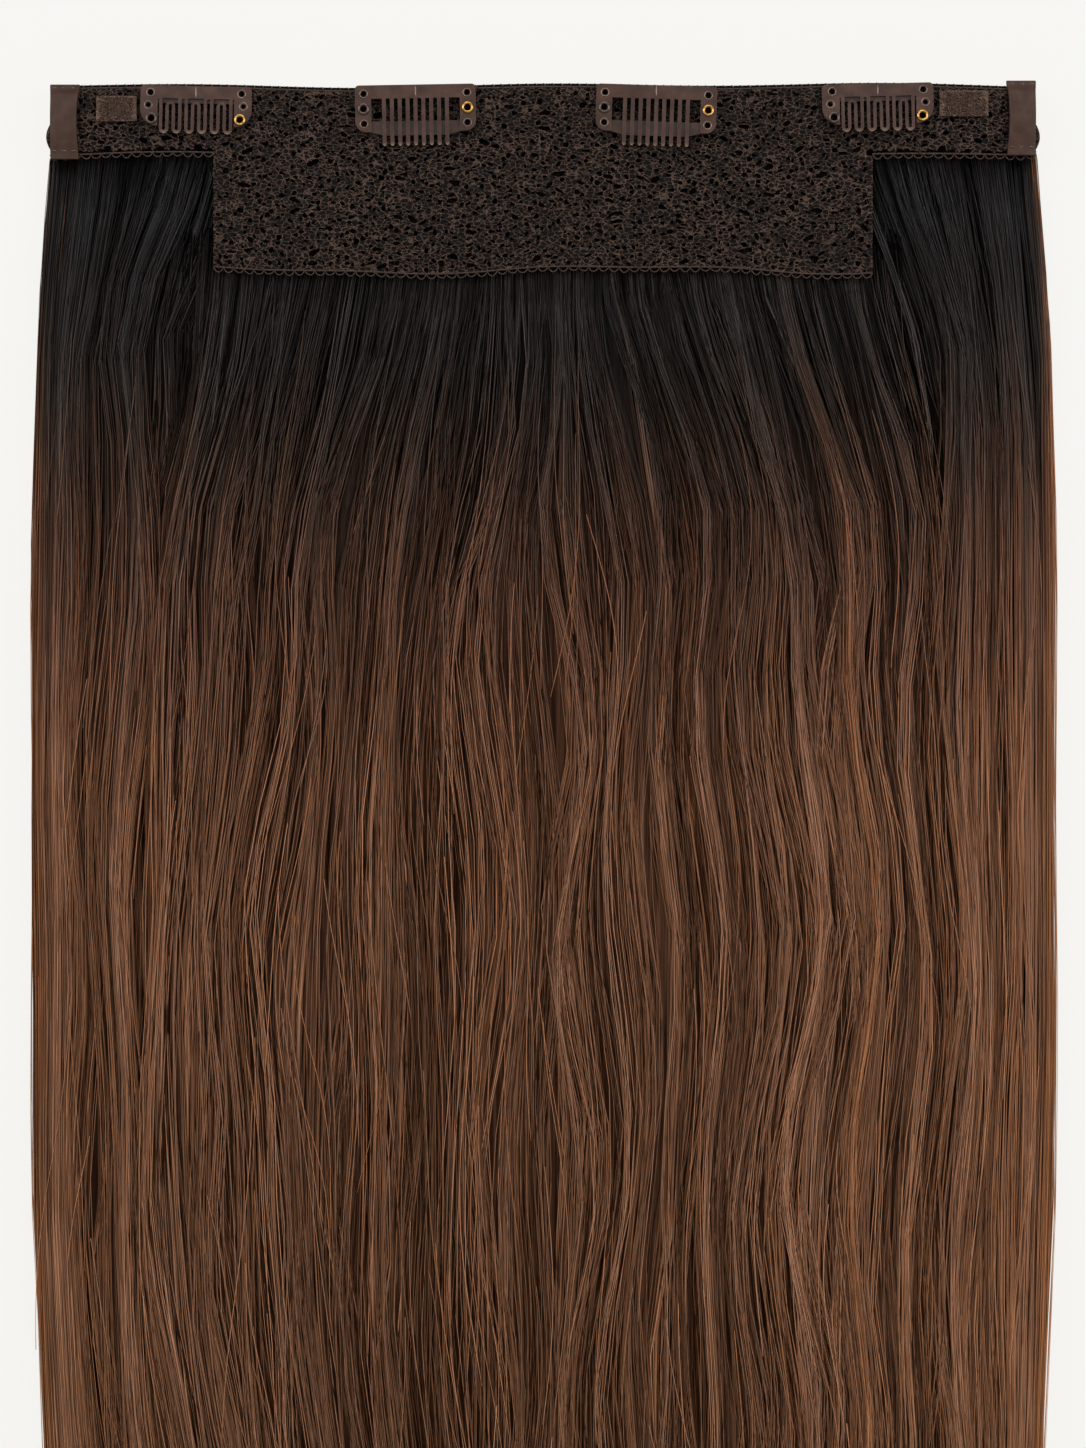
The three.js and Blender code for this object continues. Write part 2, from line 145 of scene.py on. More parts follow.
# Matt acrylic, lit from behind: it glows evenly, and gives back little of the light that falls on it
floor_acrylic, *_ = new_material(
    "lit_white_acrylic", Base_Color=(1 - FLOOR_GLOW, 1 - FLOOR_GLOW, 1 - FLOOR_GLOW, 1), Roughness=0.9,
    Specular_IOR_Level=0, Emission_Color=linear(FLOOR_COLOUR), Emission_Strength=FLOOR_GLOW)
bm = bmesh.new()
bmesh.ops.create_grid(bm, x_segments=1, y_segments=1, size=FLOOR_REACH)
floor = piece_from("table_top", bm, floor_acrylic, smooth=False)
floor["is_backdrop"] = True

for name, place, (width, height), power in SOFT_BOXES:
    lamp = bpy.data.lights.new(name, "AREA")
    lamp.shape = "RECTANGLE"
    lamp.size = width
    lamp.size_y = height
    lamp.energy = power
    lamp_object = bpy.data.objects.new(name, lamp)
    lamp_object.location = place
    aim = LIGHT_AIM - Vector(place)
    lamp_object.rotation_euler = aim.to_track_quat("-Z", "Y").to_euler()
    bpy.context.collection.objects.link(lamp_object)

world = bpy.data.worlds.new("white_tent")
world.use_nodes = True
world.node_tree.nodes["Background"].inputs["Color"].default_value = (1, 1, 1, 1)
world.node_tree.nodes["Background"].inputs["Strength"].default_value = TENT_LIGHT
bpy.context.scene.world = world
bpy.context.scene.view_settings.view_transform = "Standard"

# Hair
# Two wefts of human hair with a soft wave, dark at the roots and brown below. The upper weft is
# sewn along the band and shows at the sides, the lower one along the panel's lower edge. Each has
# a bed of close hair, darkened with painted shade, and on it loose strands that lie together in
# wisps and locks.
TOP = cad_box[1].y / MM
LENGTH = 508
HALF_WIDTH = 155.5
EDGE_POWER = 8
SPREAD_DROPS = [0, 25, 70, 140, 340, LENGTH]
SPREAD_SHARES = [0.955, 0.967, 0.986, 1, 0.995, 0.95]
WAVE_DROPS = [0, 40, 120, LENGTH]
WAVE_SIZES = [0, 0.4, 2.6, 3.4]
WAVE_LENGTH = 165
WAVE_LAG = 5
UNEVEN_LAG = 2.1
UNEVEN_TURN = 4.3
FAN_SIZE = 0.16
LOWER_FAN = (52, 165)
UPPER_FAN = (16, 88)
SWEEP_DROPS = [0, 90, 240, LENGTH]
SWEEP_SIZES = [0, 0.1, 1, 0.8]
SWEEPS = [
    # size, length, phase, middle share, reach as a share
    (7.5, 250, 3.46, -0.6, 0.3),
    (2.6, 158, 4.0, 0.5, 0.28),
    (1.6, 262, 0.5, 0.1, 0.5),
]
TOP_RIPPLES = [
    # size, length, phase
    (0.5, 107, 1.6),
    (0.35, 258, 0),
]
SEED = 20
random = np.random.default_rng(SEED)


def ripple(x, waves):
    """Sum of sine waves, each with its size, length and phase."""
    return sum(size * np.sin(2 * np.pi * x / length + phase) for size, length, phase in waves)


def hair_x(share, drop, fan):
    """Sideways place of the hair at a share across it, from -1 to 1, and a drop below the top edge.
    Between the two drops of its fan it spreads, and the share is taken where it lies widest."""
    inside = np.clip(1 - share**EDGE_POWER, 0, 1)
    lag = WAVE_LAG * share + UNEVEN_LAG * np.sin(UNEVEN_TURN * share)
    wave = np.interp(drop, WAVE_DROPS, WAVE_SIZES) * np.sin(2 * np.pi * drop / WAVE_LENGTH + lag)
    sweep = sum(
        size * np.sin(2 * np.pi * drop / length + phase) * np.exp(-(((share - middle) / reach) ** 2))
        for size, length, phase, middle, reach in SWEEPS
    )
    sweep = sweep * np.interp(drop, SWEEP_DROPS, SWEEP_SIZES)
    fanned = np.clip((drop - fan[0]) / (fan[1] - fan[0]), 0, 1)
    gathered = 1 - fanned**2 * (3 - 2 * fanned)
    place = share - FAN_SIZE * np.sin(np.pi * share) * gathered
    spread = place * np.interp(drop, SPREAD_DROPS, SPREAD_SHARES) * HALF_WIDTH
    return spread + inside * (wave + sweep)


def mesh_piece(name, points, faces, corners, material, strand_map=None):
    """A smooth mesh object from arrays: points, corner numbers of all faces, and each face's corners."""
    mesh = bpy.data.meshes.new(name)
    mesh.vertices.add(len(points))
    mesh.vertices.foreach_set("co", np.asarray(points, np.float32).ravel())
    mesh.loops.add(len(faces))
    mesh.loops.foreach_set("vertex_index", np.asarray(faces, np.int32))
    mesh.polygons.add(len(corners))
    starts = np.concatenate([[0], np.cumsum(corners)[:-1]])
    mesh.polygons.foreach_set("loop_start", starts.astype(np.int32))
    mesh.update(calc_edges=True)
    mesh.polygons.foreach_set("use_smooth", np.ones(len(corners), bool))
    if strand_map is not None:
        layer = mesh.uv_layers.new(name="strand")
        layer.data.foreach_set("uv", np.asarray(strand_map, np.float32)[faces].ravel())
    mesh.materials.append(material)
    piece = bpy.data.objects.new(name, mesh)
    bpy.context.collection.objects.link(piece)
    return piece


def tubes(paths, radii, sides, turn=0.0):
    """Closed thin tubes along paths that aren't upright: points, faces and corners for mesh_piece."""
    count, steps, _ = paths.shape
    angle = np.broadcast_to(turn, count)[:, None] + np.arange(sides) * 2 * np.pi / sides
    along = np.gradient(paths, axis=1)
    side = np.cross(along, (0, 0, 1))
    side /= np.linalg.norm(side, axis=2, keepdims=True)
    lift = np.cross(side, along)
    lift /= np.linalg.norm(lift, axis=2, keepdims=True)
    ring = np.einsum("cs,cpx->cpsx", np.cos(angle), side) + np.einsum("cs,cpx->cpsx", np.sin(angle), lift)
    points = paths[:, :, None, :] + radii[:, :, None, None] * ring
    number = np.arange(count * steps * sides).reshape(count, steps, sides)
    beside = np.roll(number, -1, axis=2)
    walls = np.stack([number[:, :-1], beside[:, :-1], beside[:, 1:], number[:, 1:]], axis=-1)
    ends = np.concatenate([number[:, 0, ::-1], number[:, -1]])
    faces = np.concatenate([walls.ravel(), ends.ravel()])
    corners = np.concatenate([np.full(walls.size // 4, 4), np.full(len(ends), sides)])
    return points.reshape(-1, 3), faces, corners


def fill_ramp(ramp_node, stops):
    """Sets a colour ramp's stops from (position, sRGB hex) pairs."""
    elements = ramp_node.color_ramp.elements
    while len(elements) > 1:
        elements.remove(elements[0])
    elements[0].position = stops[0][0]
    elements[0].color = linear(stops[0][1])
    for position, colour in stops[1:]:
        elements.new(position).color = linear(colour)


# Brown dyed hair: a root colour of near black melts into a warm brown. Each strand has its own
# shade, which its map gives and which holds painted light and shade as well as its own tone, and
# the roots reach a little further down on some than on others.
hair_material, tree, shader = new_material("brown_dyed_hair", Roughness=0.34)
place = add_node(tree, "ShaderNodeTexCoord")
place_split = add_node(tree, "ShaderNodeSeparateXYZ", [(place.outputs["Object"], "Vector")])
strand = add_node(tree, "ShaderNodeUVMap", uv_map="strand")
strand_split = add_node(tree, "ShaderNodeSeparateXYZ", [(strand.outputs["UV"], "Vector")])
drop_share = add_node(tree, "ShaderNodeMapRange", [(place_split.outputs["Y"], "Value")],
                      From_Min=TOP * MM, From_Max=(TOP - LENGTH) * MM)
uneven_root = add_node(tree, "ShaderNodeMath", operation="ADD", links=[
    (strand_split.outputs["Y"], 0), (drop_share.outputs["Result"], 1)])
dark = add_node(tree, "ShaderNodeValToRGB", [(uneven_root.outputs[0], "Fac")])
fill_ramp(dark, [(0.0, "030303"), (0.1, "040303"), (0.18, "080605"), (0.24, "140c08"),
                 (0.32, "22130b"), (0.42, "2c180d"), (1.0, "2e190e")])
light = add_node(tree, "ShaderNodeValToRGB", [(uneven_root.outputs[0], "Fac")])
fill_ramp(light, [(0.0, "121111"), (0.1, "242020"), (0.18, "42352e"), (0.24, "674837"),
                  (0.32, "97654a"), (0.42, "b87e5a"), (1.0, "c48b65")])
streak_place = add_node(tree, "ShaderNodeMapping", [(place.outputs["Object"], "Vector")],
                        Scale=(1 / (0.7 * MM), 1 / (45 * MM), 1 / (3 * MM)))
streaks = add_node(tree, "ShaderNodeTexNoise", [(streak_place.outputs["Vector"], "Vector")],
                   Scale=1, Detail=2)
streak_shade = add_node(tree, "ShaderNodeMapRange", [(streaks.outputs["Fac"], "Value")],
                        From_Min=0.25, From_Max=0.75, To_Min=-0.1, To_Max=0.1)
streaked = add_node(tree, "ShaderNodeMath", operation="ADD", use_clamp=True, links=[
    (strand_split.outputs["X"], 0), (streak_shade.outputs["Result"], 1)])
shade = add_node(tree, "ShaderNodeMix", data_type="RGBA", links=[
    (streaked.outputs[0], "Factor"), (dark.outputs["Color"], "A"), (light.outputs["Color"], "B")])
warmth = add_node(tree, "ShaderNodeMapRange", [(strand_split.outputs["Y"], "Value")],
                  From_Min=-0.05, From_Max=0.05, To_Min=0.88, To_Max=1.08)
warmed = add_node(tree, "ShaderNodeHueSaturation", [
    (warmth.outputs["Result"], "Saturation"), (shade.outputs["Result"], "Color")])
tree.links.new(warmed.outputs["Color"], shader.inputs["Base Color"])
shine = add_node(tree, "ShaderNodeMapRange", [(strand_split.outputs["X"], "Value")],
                 To_Min=0.02, To_Max=0.38)
tree.links.new(shine.outputs["Result"], shader.inputs["Specular IOR Level"])

# Drops below the top edge, and how high the hair lies there
SIDE_CROWN = ([0, 31, 60, 400, 470, LENGTH], [6.3, 6.3, 8.6, 8.4, 4.6, 1.0])
MIDDLE_CROWN = ([0, 62, 84, 380, 450, LENGTH], [6.3, 6.3, 10.4, 10.0, 7.4, 5.6])
BED_COLUMNS = 130
BED_ROWS = 30
BED_GROOVES = 0.6
BED_HOLLOWS = 1.3
BED_RAGGED = 35
BED_LEAST = 0.5
BED_STEP = 12
BED_RISE = 40
BED_TAPER = 120
FILL_AT_LACE = 0.9
FILL_AT_TIPS = 0.2
# Painted shade: the bed's face is nearly the darkest hair colour, like the hair deep between the locks,
# and its underside is darker where its hollows are deeper
FACE_SHADE = 0.08
UNDER_SHADE = 0.45
HOLLOW_PAINTED_SHADE = 0.3
HAIR_BEDS = [
    # name, CAD node, share at the edge, drops of the head, hem and tips, crown, lowest height, fill, fan
    ("hair_bed_upper", "upper_weft", 0.99, 1.5, 22, LENGTH - 46, SIDE_CROWN, 0.2, 0.45, UPPER_FAN),
    ("hair_bed_lower", "lower_weft", 0.76, 9, 57, LENGTH - 66, MIDDLE_CROWN, 5.0, 0.4, LOWER_FAN),
]


def walled_in(bm):
    """Makes a closed slab of a flat grid, and gives the points of the copied face."""
    walls = bmesh.ops.extrude_face_region(bm, geom=bm.faces[:])
    return [element for element in walls["geom"] if isinstance(element, bmesh.types.BMVert)]


def hair_bed(name, node, share_edge, head, hem, tip, crown, low, fill, fan):
    """A closed slab of hair under the lace, and past its hem a share as high as the locks. Its face is
    nearly the darkest hair colour, in painted shade. Its underside lies in locks and is darker in
    painted shade where they are hollowed, and its end is ragged and thin."""
    bm = bmesh.new()
    bmesh.ops.create_grid(bm, x_segments=BED_COLUMNS, y_segments=BED_ROWS, size=1)
    underside = set(walled_in(bm))
    grooves = random.uniform(-BED_GROOVES, BED_GROOVES, BED_COLUMNS + 1)
    hollows = random.uniform(0, BED_HOLLOWS, BED_COLUMNS + 1)
    ragged = random.uniform(0, BED_RAGGED, BED_COLUMNS + 1)
    fill_drops = [hem - BED_STEP, hem, tip - BED_TAPER, tip]
    fill_shares = [FILL_AT_LACE, fill, fill, FILL_AT_TIPS]
    shades = []
    for vertex in bm.verts:
        column = round((vertex.co.x + 1) / 2 * BED_COLUMNS)
        share = vertex.co.x * share_edge
        drop = head + (tip - ragged[column] - head) * (1 - vertex.co.y) / 2
        height = low + (np.interp(drop, *crown) - low) * np.interp(drop, fill_drops, fill_shares)
        height += grooves[column] * (drop > hem)
        bottom = low + hollows[column] * np.interp(drop, [hem, hem + BED_RISE], [0, 1])
        x = hair_x(share, drop, fan)
        y = TOP - drop + np.interp(drop, [0, hem], [1, 0]) * ripple(x, TOP_RIPPLES)
        # Painted shade: darker in the deeper hollows of the underside, and nearly the darkest colour on
        # the face
        if vertex in underside:
            vertex.co = Vector((x, y, bottom)) * MM
            shades.append((UNDER_SHADE - HOLLOW_PAINTED_SHADE * hollows[column], 0))
        else:
            vertex.co = Vector((x, y, max(height, bottom + BED_LEAST))) * MM
            shades.append((FACE_SHADE * hollows[column], 0))
    bmesh.ops.recalc_face_normals(bm, faces=bm.faces[:])
    bed = piece_from(name, bm, hair_material)
    owners = np.empty(len(bed.data.loops), int)
    bed.data.loops.foreach_get("vertex_index", owners)
    bed.data.uv_layers.new(name="strand").data.foreach_set("uv", np.array(shades)[owners].ravel())
    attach(bed, "base")
    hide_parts(node)


for bed in HAIR_BEDS:
    hair_bed(*bed)

# Strands lie in wisps, wisps in locks and locks in tresses. Sizes are in millimetres, and a wave has
# its size and its length, each from the least to the most.
STRAND_STEPS = 17
STRAND_SIDES = 3
STEP_POWER = 1.2
TRESSES_ACROSS = 20
LOCKS_ACROSS = 58
LOCK_MIDDLES = (0.15, 0.85)
LOCK_WIDTHS = (0.6, 1.1)
WISPS_IN_LOCK = 10
UNDER_WISPS = 0.3
WISP_SPREAD = 0.5
WISP_REACH = 1.1
STRAND_REACH = 0.22
GATHERED = 0.22
LOOSE_BELOW = 40
UNEVEN_START = 4
LOCK_ENDS = 18
WISP_ENDS = 14
STRAND_ENDS = 8
STRAND_RADII = (0.14, 0.26)
STRAND_TIP = 0.35

# How locks, wisps, strands and tresses sway and drift, and how calm they are at the outer edges
TURN = 6.28
GATHER_WAVE = ((0.3, 0.5), (150, 280))
LOCK_WAVE = ((0.4, 1.9), (85, 230))
LOCK_LAG = 9
LOCK_SHIFT = 1
WISP_WAVE = ((0.1, 0.9), (70, 180))
STRAND_WAVE = ((0.05, 0.4), (40, 110))
TRESS_WAVE = ((0.8, 3.4), (110, 230))
UNDER_SWAY = 0.3
HEM_WAVE = ((0.5, 1.7), (70, 115))
HEM_LAG = 8
HEM_SHIFT = 0.7
HEM_WAVE_DROP = 60
HEM_WAVE_REACH = 45
LOCK_DRIFT = 2.2
WISP_DRIFT = 1.5
STRAND_DRIFT = 1
CALM_EDGE = 0.12
CALM_SWAY = 0.08

# How high strands lie, as shares of the crown, and where they are held down by the lace or lie tucked
# under the lower weft
PANEL_COVER = 101.5
PANEL_COVER_DROP = 60
WISP_ROUND = 0.4
TRESS_ROUND = 0.25
LOCK_HEIGHTS = (0.75, 1)
UNDER_WISP_HEIGHT = 0.55
WISP_SINK = 0.3
STRAND_SINK = 0.18
LEAST_HEIGHT = 0.06
LOWEST_STRAND = 0.4
RISE = 0.35
RISE_LENGTHS = (60, 130)
TUCKED_SHARE = 0.76
TUCKED_BLEND = 0.03
TUCKED_DROP = 75
TUCKED_FALL = 30
TUCKED_DEPTH = 0.3

# How light strands are, and how far down their dark roots reach
BASE_DARK = 0.075
SIDE_LIGHT = 0.075
# Painted light: the right side is lighter, as if the light fell from there
RIGHT_PAINTED_LIGHT = 0.055
STRAND_SHADES = (-0.05, 0.89)
LOCK_SHADE = 0.07
WISP_LIGHT = 0.6
# Painted shade on the wisps that lie under the others
UNDER_PAINTED_SHADE = 0.04
# Painted light and shade: the crests of wisps and tresses are lighter, their sides darker
WISP_CREST_PAINTED_LIGHT = 0.1
TRESS_CREST_PAINTED_LIGHT = 0.17
# Painted sheen: slow bands of light along each lock
PAINTED_SHEEN_WAVE = ((0, 0.05), (60, 160))
# Painted shade in the middle near the tips; the sides there are lighter
TIPS_PAINTED_SHADE = 0.1
TIPS_DARK_DROP = 330
TIPS_DARK_FALL = 60
LIGHT_EDGE = 0.975
# Painted light through the thin hair at the outer edges: lighter, and the brown reaches further up
EDGE_PAINTED_GLOW = 0.1
EDGE_GLOW_ROOT = 0.12
LOCK_ROOT = 0.02
STRAND_ROOT = 0.03


def each(owner, low, high):
    """A random number between two limits for each owner, as a column with a row for each strand."""
    return random.uniform(low, high, owner.max() + 1)[owner][:, None]


def either_way(owner, reach):
    """A random number up to a reach to either side for each owner, as a column like that of each."""
    return each(owner, -reach, reach)


def lay_strands(count, share_from, share_to, head, tip, crown, low, fan):
    """Paths, radii, shades and root offsets of strands that lie in wisps, locks and wide tresses. Some
    of the wisps lie under the others, and don't follow the tresses. The innermost strands of the upper
    weft come out from under the panel, and lie under the lower weft."""
    tresses = max(1, round((share_to - share_from) * TRESSES_ACROSS / 2))
    locks = max(1, round((share_to - share_from) * LOCKS_ACROSS / 2))
    spacing = (share_to - share_from) / locks
    strand = np.arange(count)
    wisp = random.integers(0, locks * WISPS_IN_LOCK, count)
    lock = wisp % locks
    middle = share_from + spacing * (lock[:, None] + each(lock, *LOCK_MIDDLES))
    tress = lock * tresses // locks
    tress_side = 2 * ((lock[:, None] + 0.5) * tresses / locks - tress[:, None]) - 1
    on_top = each(wisp, 0, 1) > UNDER_WISPS
    offset = np.clip(random.normal(0, WISP_SPREAD, locks * WISPS_IN_LOCK), -WISP_REACH, WISP_REACH)
    offset = np.where(on_top, offset[wisp][:, None], either_way(strand, WISP_REACH))

    # Where each strand starts and ends, and how far it has come loose from the weft
    start = head + either_way(strand, UNEVEN_START)
    end = tip - each(lock, 0, LOCK_ENDS) - each(wisp, 0, WISP_ENDS)
    end = end - random.exponential(STRAND_ENDS, count)[:, None]
    along = np.linspace(0, 1, STRAND_STEPS) ** STEP_POWER
    drop = start + (end - start) * along
    loose = np.clip((drop - head) / LOOSE_BELOW, 0, 1)

    def wave(owner, sizes, lengths, phase):
        return each(owner, *sizes) * np.sin(2 * np.pi * drop / each(owner, *lengths) + phase)

    # How it lies across the hair, and how it sways with its lock, wisp and tress
    gather = 1 - GATHERED * loose * (0.5 + wave(lock, *GATHER_WAVE, each(lock, 0, TURN)))
    beside = offset * each(lock, *LOCK_WIDTHS) + either_way(strand, STRAND_REACH)
    share = middle + spacing * gather * beside
    share = np.where(np.abs(share) > 1, np.sign(share) * 2 - share, share)
    x = hair_x(share, drop, fan)
    sway = wave(lock, *LOCK_WAVE, LOCK_LAG * middle + either_way(lock, LOCK_SHIFT))
    sway += wave(wisp, *WISP_WAVE, each(wisp, 0, TURN))
    sway += wave(strand, *STRAND_WAVE, each(strand, 0, TURN))
    drift = either_way(lock, LOCK_DRIFT) + either_way(wisp, WISP_DRIFT) + either_way(strand, STRAND_DRIFT)
    sway += drift * drop / LENGTH
    sway += wave(tress, *TRESS_WAVE, each(tress, 0, TURN)) * np.where(on_top, 1, UNDER_SWAY)
    near_hem = np.exp(-(((drop - head - HEM_WAVE_DROP) / HEM_WAVE_REACH) ** 2))
    sway += wave(lock, *HEM_WAVE, HEM_LAG * middle + either_way(lock, HEM_SHIFT)) * near_hem
    x += sway * loose * np.clip((1 - np.abs(share)) / CALM_EDGE, CALM_SWAY, 1)

    # How high it lies
    ceiling = np.interp(drop, *crown)
    under_lace = (np.abs(x) < PANEL_COVER) & (drop < PANEL_COVER_DROP)
    ceiling = np.where(under_lace, np.minimum(ceiling, crown[1][0]), ceiling)
    dome = (1 - WISP_ROUND * offset**2) * (1 - TRESS_ROUND * tress_side**2) * each(lock, *LOCK_HEIGHTS)
    dome = dome * np.where(on_top, 1, UNDER_WISP_HEIGHT) - WISP_SINK * each(wisp, 0, 1)
    dome = dome - STRAND_SINK * each(strand, 0, 1) ** 1.5
    inward = np.clip((TUCKED_SHARE - np.abs(share)) / TUCKED_BLEND, 0, 1)
    below = np.clip((drop - TUCKED_DROP) / TUCKED_FALL, 0, 1)
    tucked = inward * below * (fan == UPPER_FAN)
    z = low + (ceiling - low) * np.clip(dome, LEAST_HEIGHT, 1) * (1 - TUCKED_DEPTH * tucked)
    z += RISE * loose * np.sin(2 * np.pi * drop / each(strand, *RISE_LENGTHS) + each(strand, 0, TURN))
    paths = np.stack([x, TOP - drop, np.clip(z, LOWEST_STRAND, ceiling)], axis=2) * MM
    radii = each(strand, *STRAND_RADII) * np.interp(along, [0, 0.8, 1], [1, 1, STRAND_TIP]) * MM

    # How light it is: lighter towards the sides; lighter to the right, in painted light from that side;
    # lighter on the crests of the wisps and tresses and darker at their sides, in painted light and
    # shade;
    # darker on the wisps that lie under others, in painted shade; with painted sheen in slow bands along
    # the locks; lighter along the outer edges, in painted light through the thin hair; and darker in the
    # middle near the tips, in painted shade
    shade = SIDE_LIGHT * middle**2 + RIGHT_PAINTED_LIGHT * middle - BASE_DARK + each(strand, *STRAND_SHADES) ** 4
    shade = shade + either_way(lock, LOCK_SHADE) + WISP_LIGHT * each(wisp, 0, 1) ** 2.6
    shade = shade - np.where(on_top, 0, UNDER_PAINTED_SHADE)
    shade = shade - WISP_CREST_PAINTED_LIGHT * (offset**2 - 0.25) - TRESS_CREST_PAINTED_LIGHT * (tress_side**2 - 0.33)
    shade = shade + wave(lock, *PAINTED_SHEEN_WAVE, each(lock, 0, TURN))
    near_tips = np.clip((drop - TIPS_DARK_DROP) / TIPS_DARK_FALL, 0, 1)
    shade = shade - TIPS_PAINTED_SHADE * (1 - 2.2 * middle**2) * near_tips
    edge = np.clip((np.abs(share) - LIGHT_EDGE) / (1 - LIGHT_EDGE), 0, 1)
    shade = shade + EDGE_PAINTED_GLOW * edge
    root = either_way(lock, LOCK_ROOT) + either_way(strand, STRAND_ROOT) + EDGE_GLOW_ROOT * edge
    return paths, radii, np.clip(shade, 0, 1), root


def hair_piece(name, paths, radii, shade, root):
    """One joined mesh of strands that rides with the lace."""
    strand_map = np.stack(np.broadcast_arrays(shade, root), axis=2).reshape(-1, 2)
    strand_map = np.repeat(strand_map, STRAND_SIDES, axis=0)
    turn = random.uniform(0, TURN, len(paths))
    piece = mesh_piece(name, *tubes(paths, radii, STRAND_SIDES, turn), hair_material, strand_map)
    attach(piece, "base")


STRAND_GROUPS = [
    # name, count, from share, to share, drop of the head, drop of the tips, crown, lowest height, fan
    ("hair_side_left", 900, -1, -0.7, 12, LENGTH + 5, SIDE_CROWN, 0.5, UPPER_FAN),
    ("hair_side_right", 900, 0.7, 1, 12, LENGTH + 5, SIDE_CROWN, 0.5, UPPER_FAN),
    ("hair_middle_left", 1250, -0.78, -0.26, 48, LENGTH - 14, MIDDLE_CROWN, 5.2, LOWER_FAN),
    ("hair_middle", 1250, -0.3, 0.3, 48, LENGTH - 14, MIDDLE_CROWN, 5.2, LOWER_FAN),
    ("hair_middle_right", 1250, 0.26, 0.78, 48, LENGTH - 14, MIDDLE_CROWN, 5.2, LOWER_FAN),
]
for name, *where in STRAND_GROUPS:
    hair_piece(name, *lay_strands(*where))

# Finer strands lie loosely on top of the locks, lighter in tone and partly as painted highlight
FINE_RADIUS_SHARE = 0.55
FINE_TONE_AND_HIGHLIGHT = 0.4
FINE_GROUPS = [
    # columns as above
    ("hair_fine_left", 260, -1, -0.775, 22, LENGTH - 8, SIDE_CROWN, 7.4, UPPER_FAN),
    ("hair_fine_middle", 760, -0.78, 0.78, 52, LENGTH - 24, MIDDLE_CROWN, 9.4, LOWER_FAN),
    ("hair_fine_right", 260, 0.775, 1, 22, LENGTH - 8, SIDE_CROWN, 7.4, UPPER_FAN),
]
for name, count, *where in FINE_GROUPS:
    paths, radii, shade, root = lay_strands(count, *where)
    shade += random.uniform(0, FINE_TONE_AND_HIGHLIGHT, (count, 1))
    hair_piece(name, paths, radii * FINE_RADIUS_SHARE, np.clip(shade, 0, 1), root)

# The hair is thin along both outer edges, where the light comes through it, and that light is painted
# in: the edge strands are lighter, and their warm brown reaches further up
EDGE_STRANDS = 150
EDGE_PLACE = (0.97, 1, 14, LENGTH - 6, SIDE_CROWN, 0.5, UPPER_FAN)
EDGE_SPREAD = (-0.5, 2)
EDGE_SPREAD_POWER = 0.4
EDGE_RADIUS_SHARE = 0.5
# Painted light through the thin edge hair: lighter strands, with the brown reaching further up
EDGE_GLOW_SHADES = (0.1, 0.5)
EDGE_GLOW_ROOTS = (0.04, 0.34)
for name, end in [("hair_edge_left", -1), ("hair_edge_right", 1)]:
    paths, radii, shade, root = lay_strands(EDGE_STRANDS, *EDGE_PLACE)
    spread = np.linspace(0, 1, STRAND_STEPS) ** EDGE_SPREAD_POWER
    paths[:, :, 0] += spread * random.uniform(*EDGE_SPREAD, (EDGE_STRANDS, 1)) * MM
    paths[:, :, 0] *= end
    shade += random.uniform(*EDGE_GLOW_SHADES, (EDGE_STRANDS, 1))
    root += random.uniform(*EDGE_GLOW_ROOTS, (EDGE_STRANDS, 1))
    hair_piece(name, paths, radii * EDGE_RADIUS_SHARE, np.clip(shade, 0, 1), root)

# A few stray hairs lie across the others
STRAY_HAIRS = 210
STRAY_HEADS = (52, 430)
STRAY_LENGTHS = (35, 130)
STRAY_RADII = (0.09, 0.14)
STRAY_SLANT = 0.08
STRAY_CURL = 2
STRAY_CURL_RUNS = (12, 30)
STRAY_LIFT = 0.1
STRAY_TIP_DROP = LENGTH - 20
STRAY_SHADES = (0.4, 1)
STRAY_ROOTS = (-0.03, 0.06)
LOOSE_REACH = 0.97
MIDDLE_REACH = 0.77
stray = np.arange(STRAY_HAIRS)
share = either_way(stray, LOOSE_REACH)
fallen = np.linspace(0, 1, STRAND_STEPS) * each(stray, *STRAY_LENGTHS)
drop = np.minimum(each(stray, *STRAY_HEADS) + fallen, STRAY_TIP_DROP)
x = hair_x(share, drop, LOWER_FAN) + fallen * random.normal(0, STRAY_SLANT, (STRAY_HAIRS, 1))
curl = either_way(stray, STRAY_CURL)
x += curl * np.sin(fallen / each(stray, *STRAY_CURL_RUNS) + each(stray, 0, TURN))
x = np.clip(x, -HALF_WIDTH, HALF_WIDTH)
in_middle = np.abs(share) < MIDDLE_REACH
z = np.where(in_middle, np.interp(drop, *MIDDLE_CROWN), np.interp(drop, *SIDE_CROWN)) + STRAY_LIFT
paths = np.stack([x, TOP - drop, z], axis=2) * MM
radii = each(stray, *STRAY_RADII) * np.ones(STRAND_STEPS) * MM
shade = each(stray, *STRAY_SHADES) + 0 * drop
hair_piece("hair_strays", paths, radii, shade, each(stray, *STRAY_ROOTS))

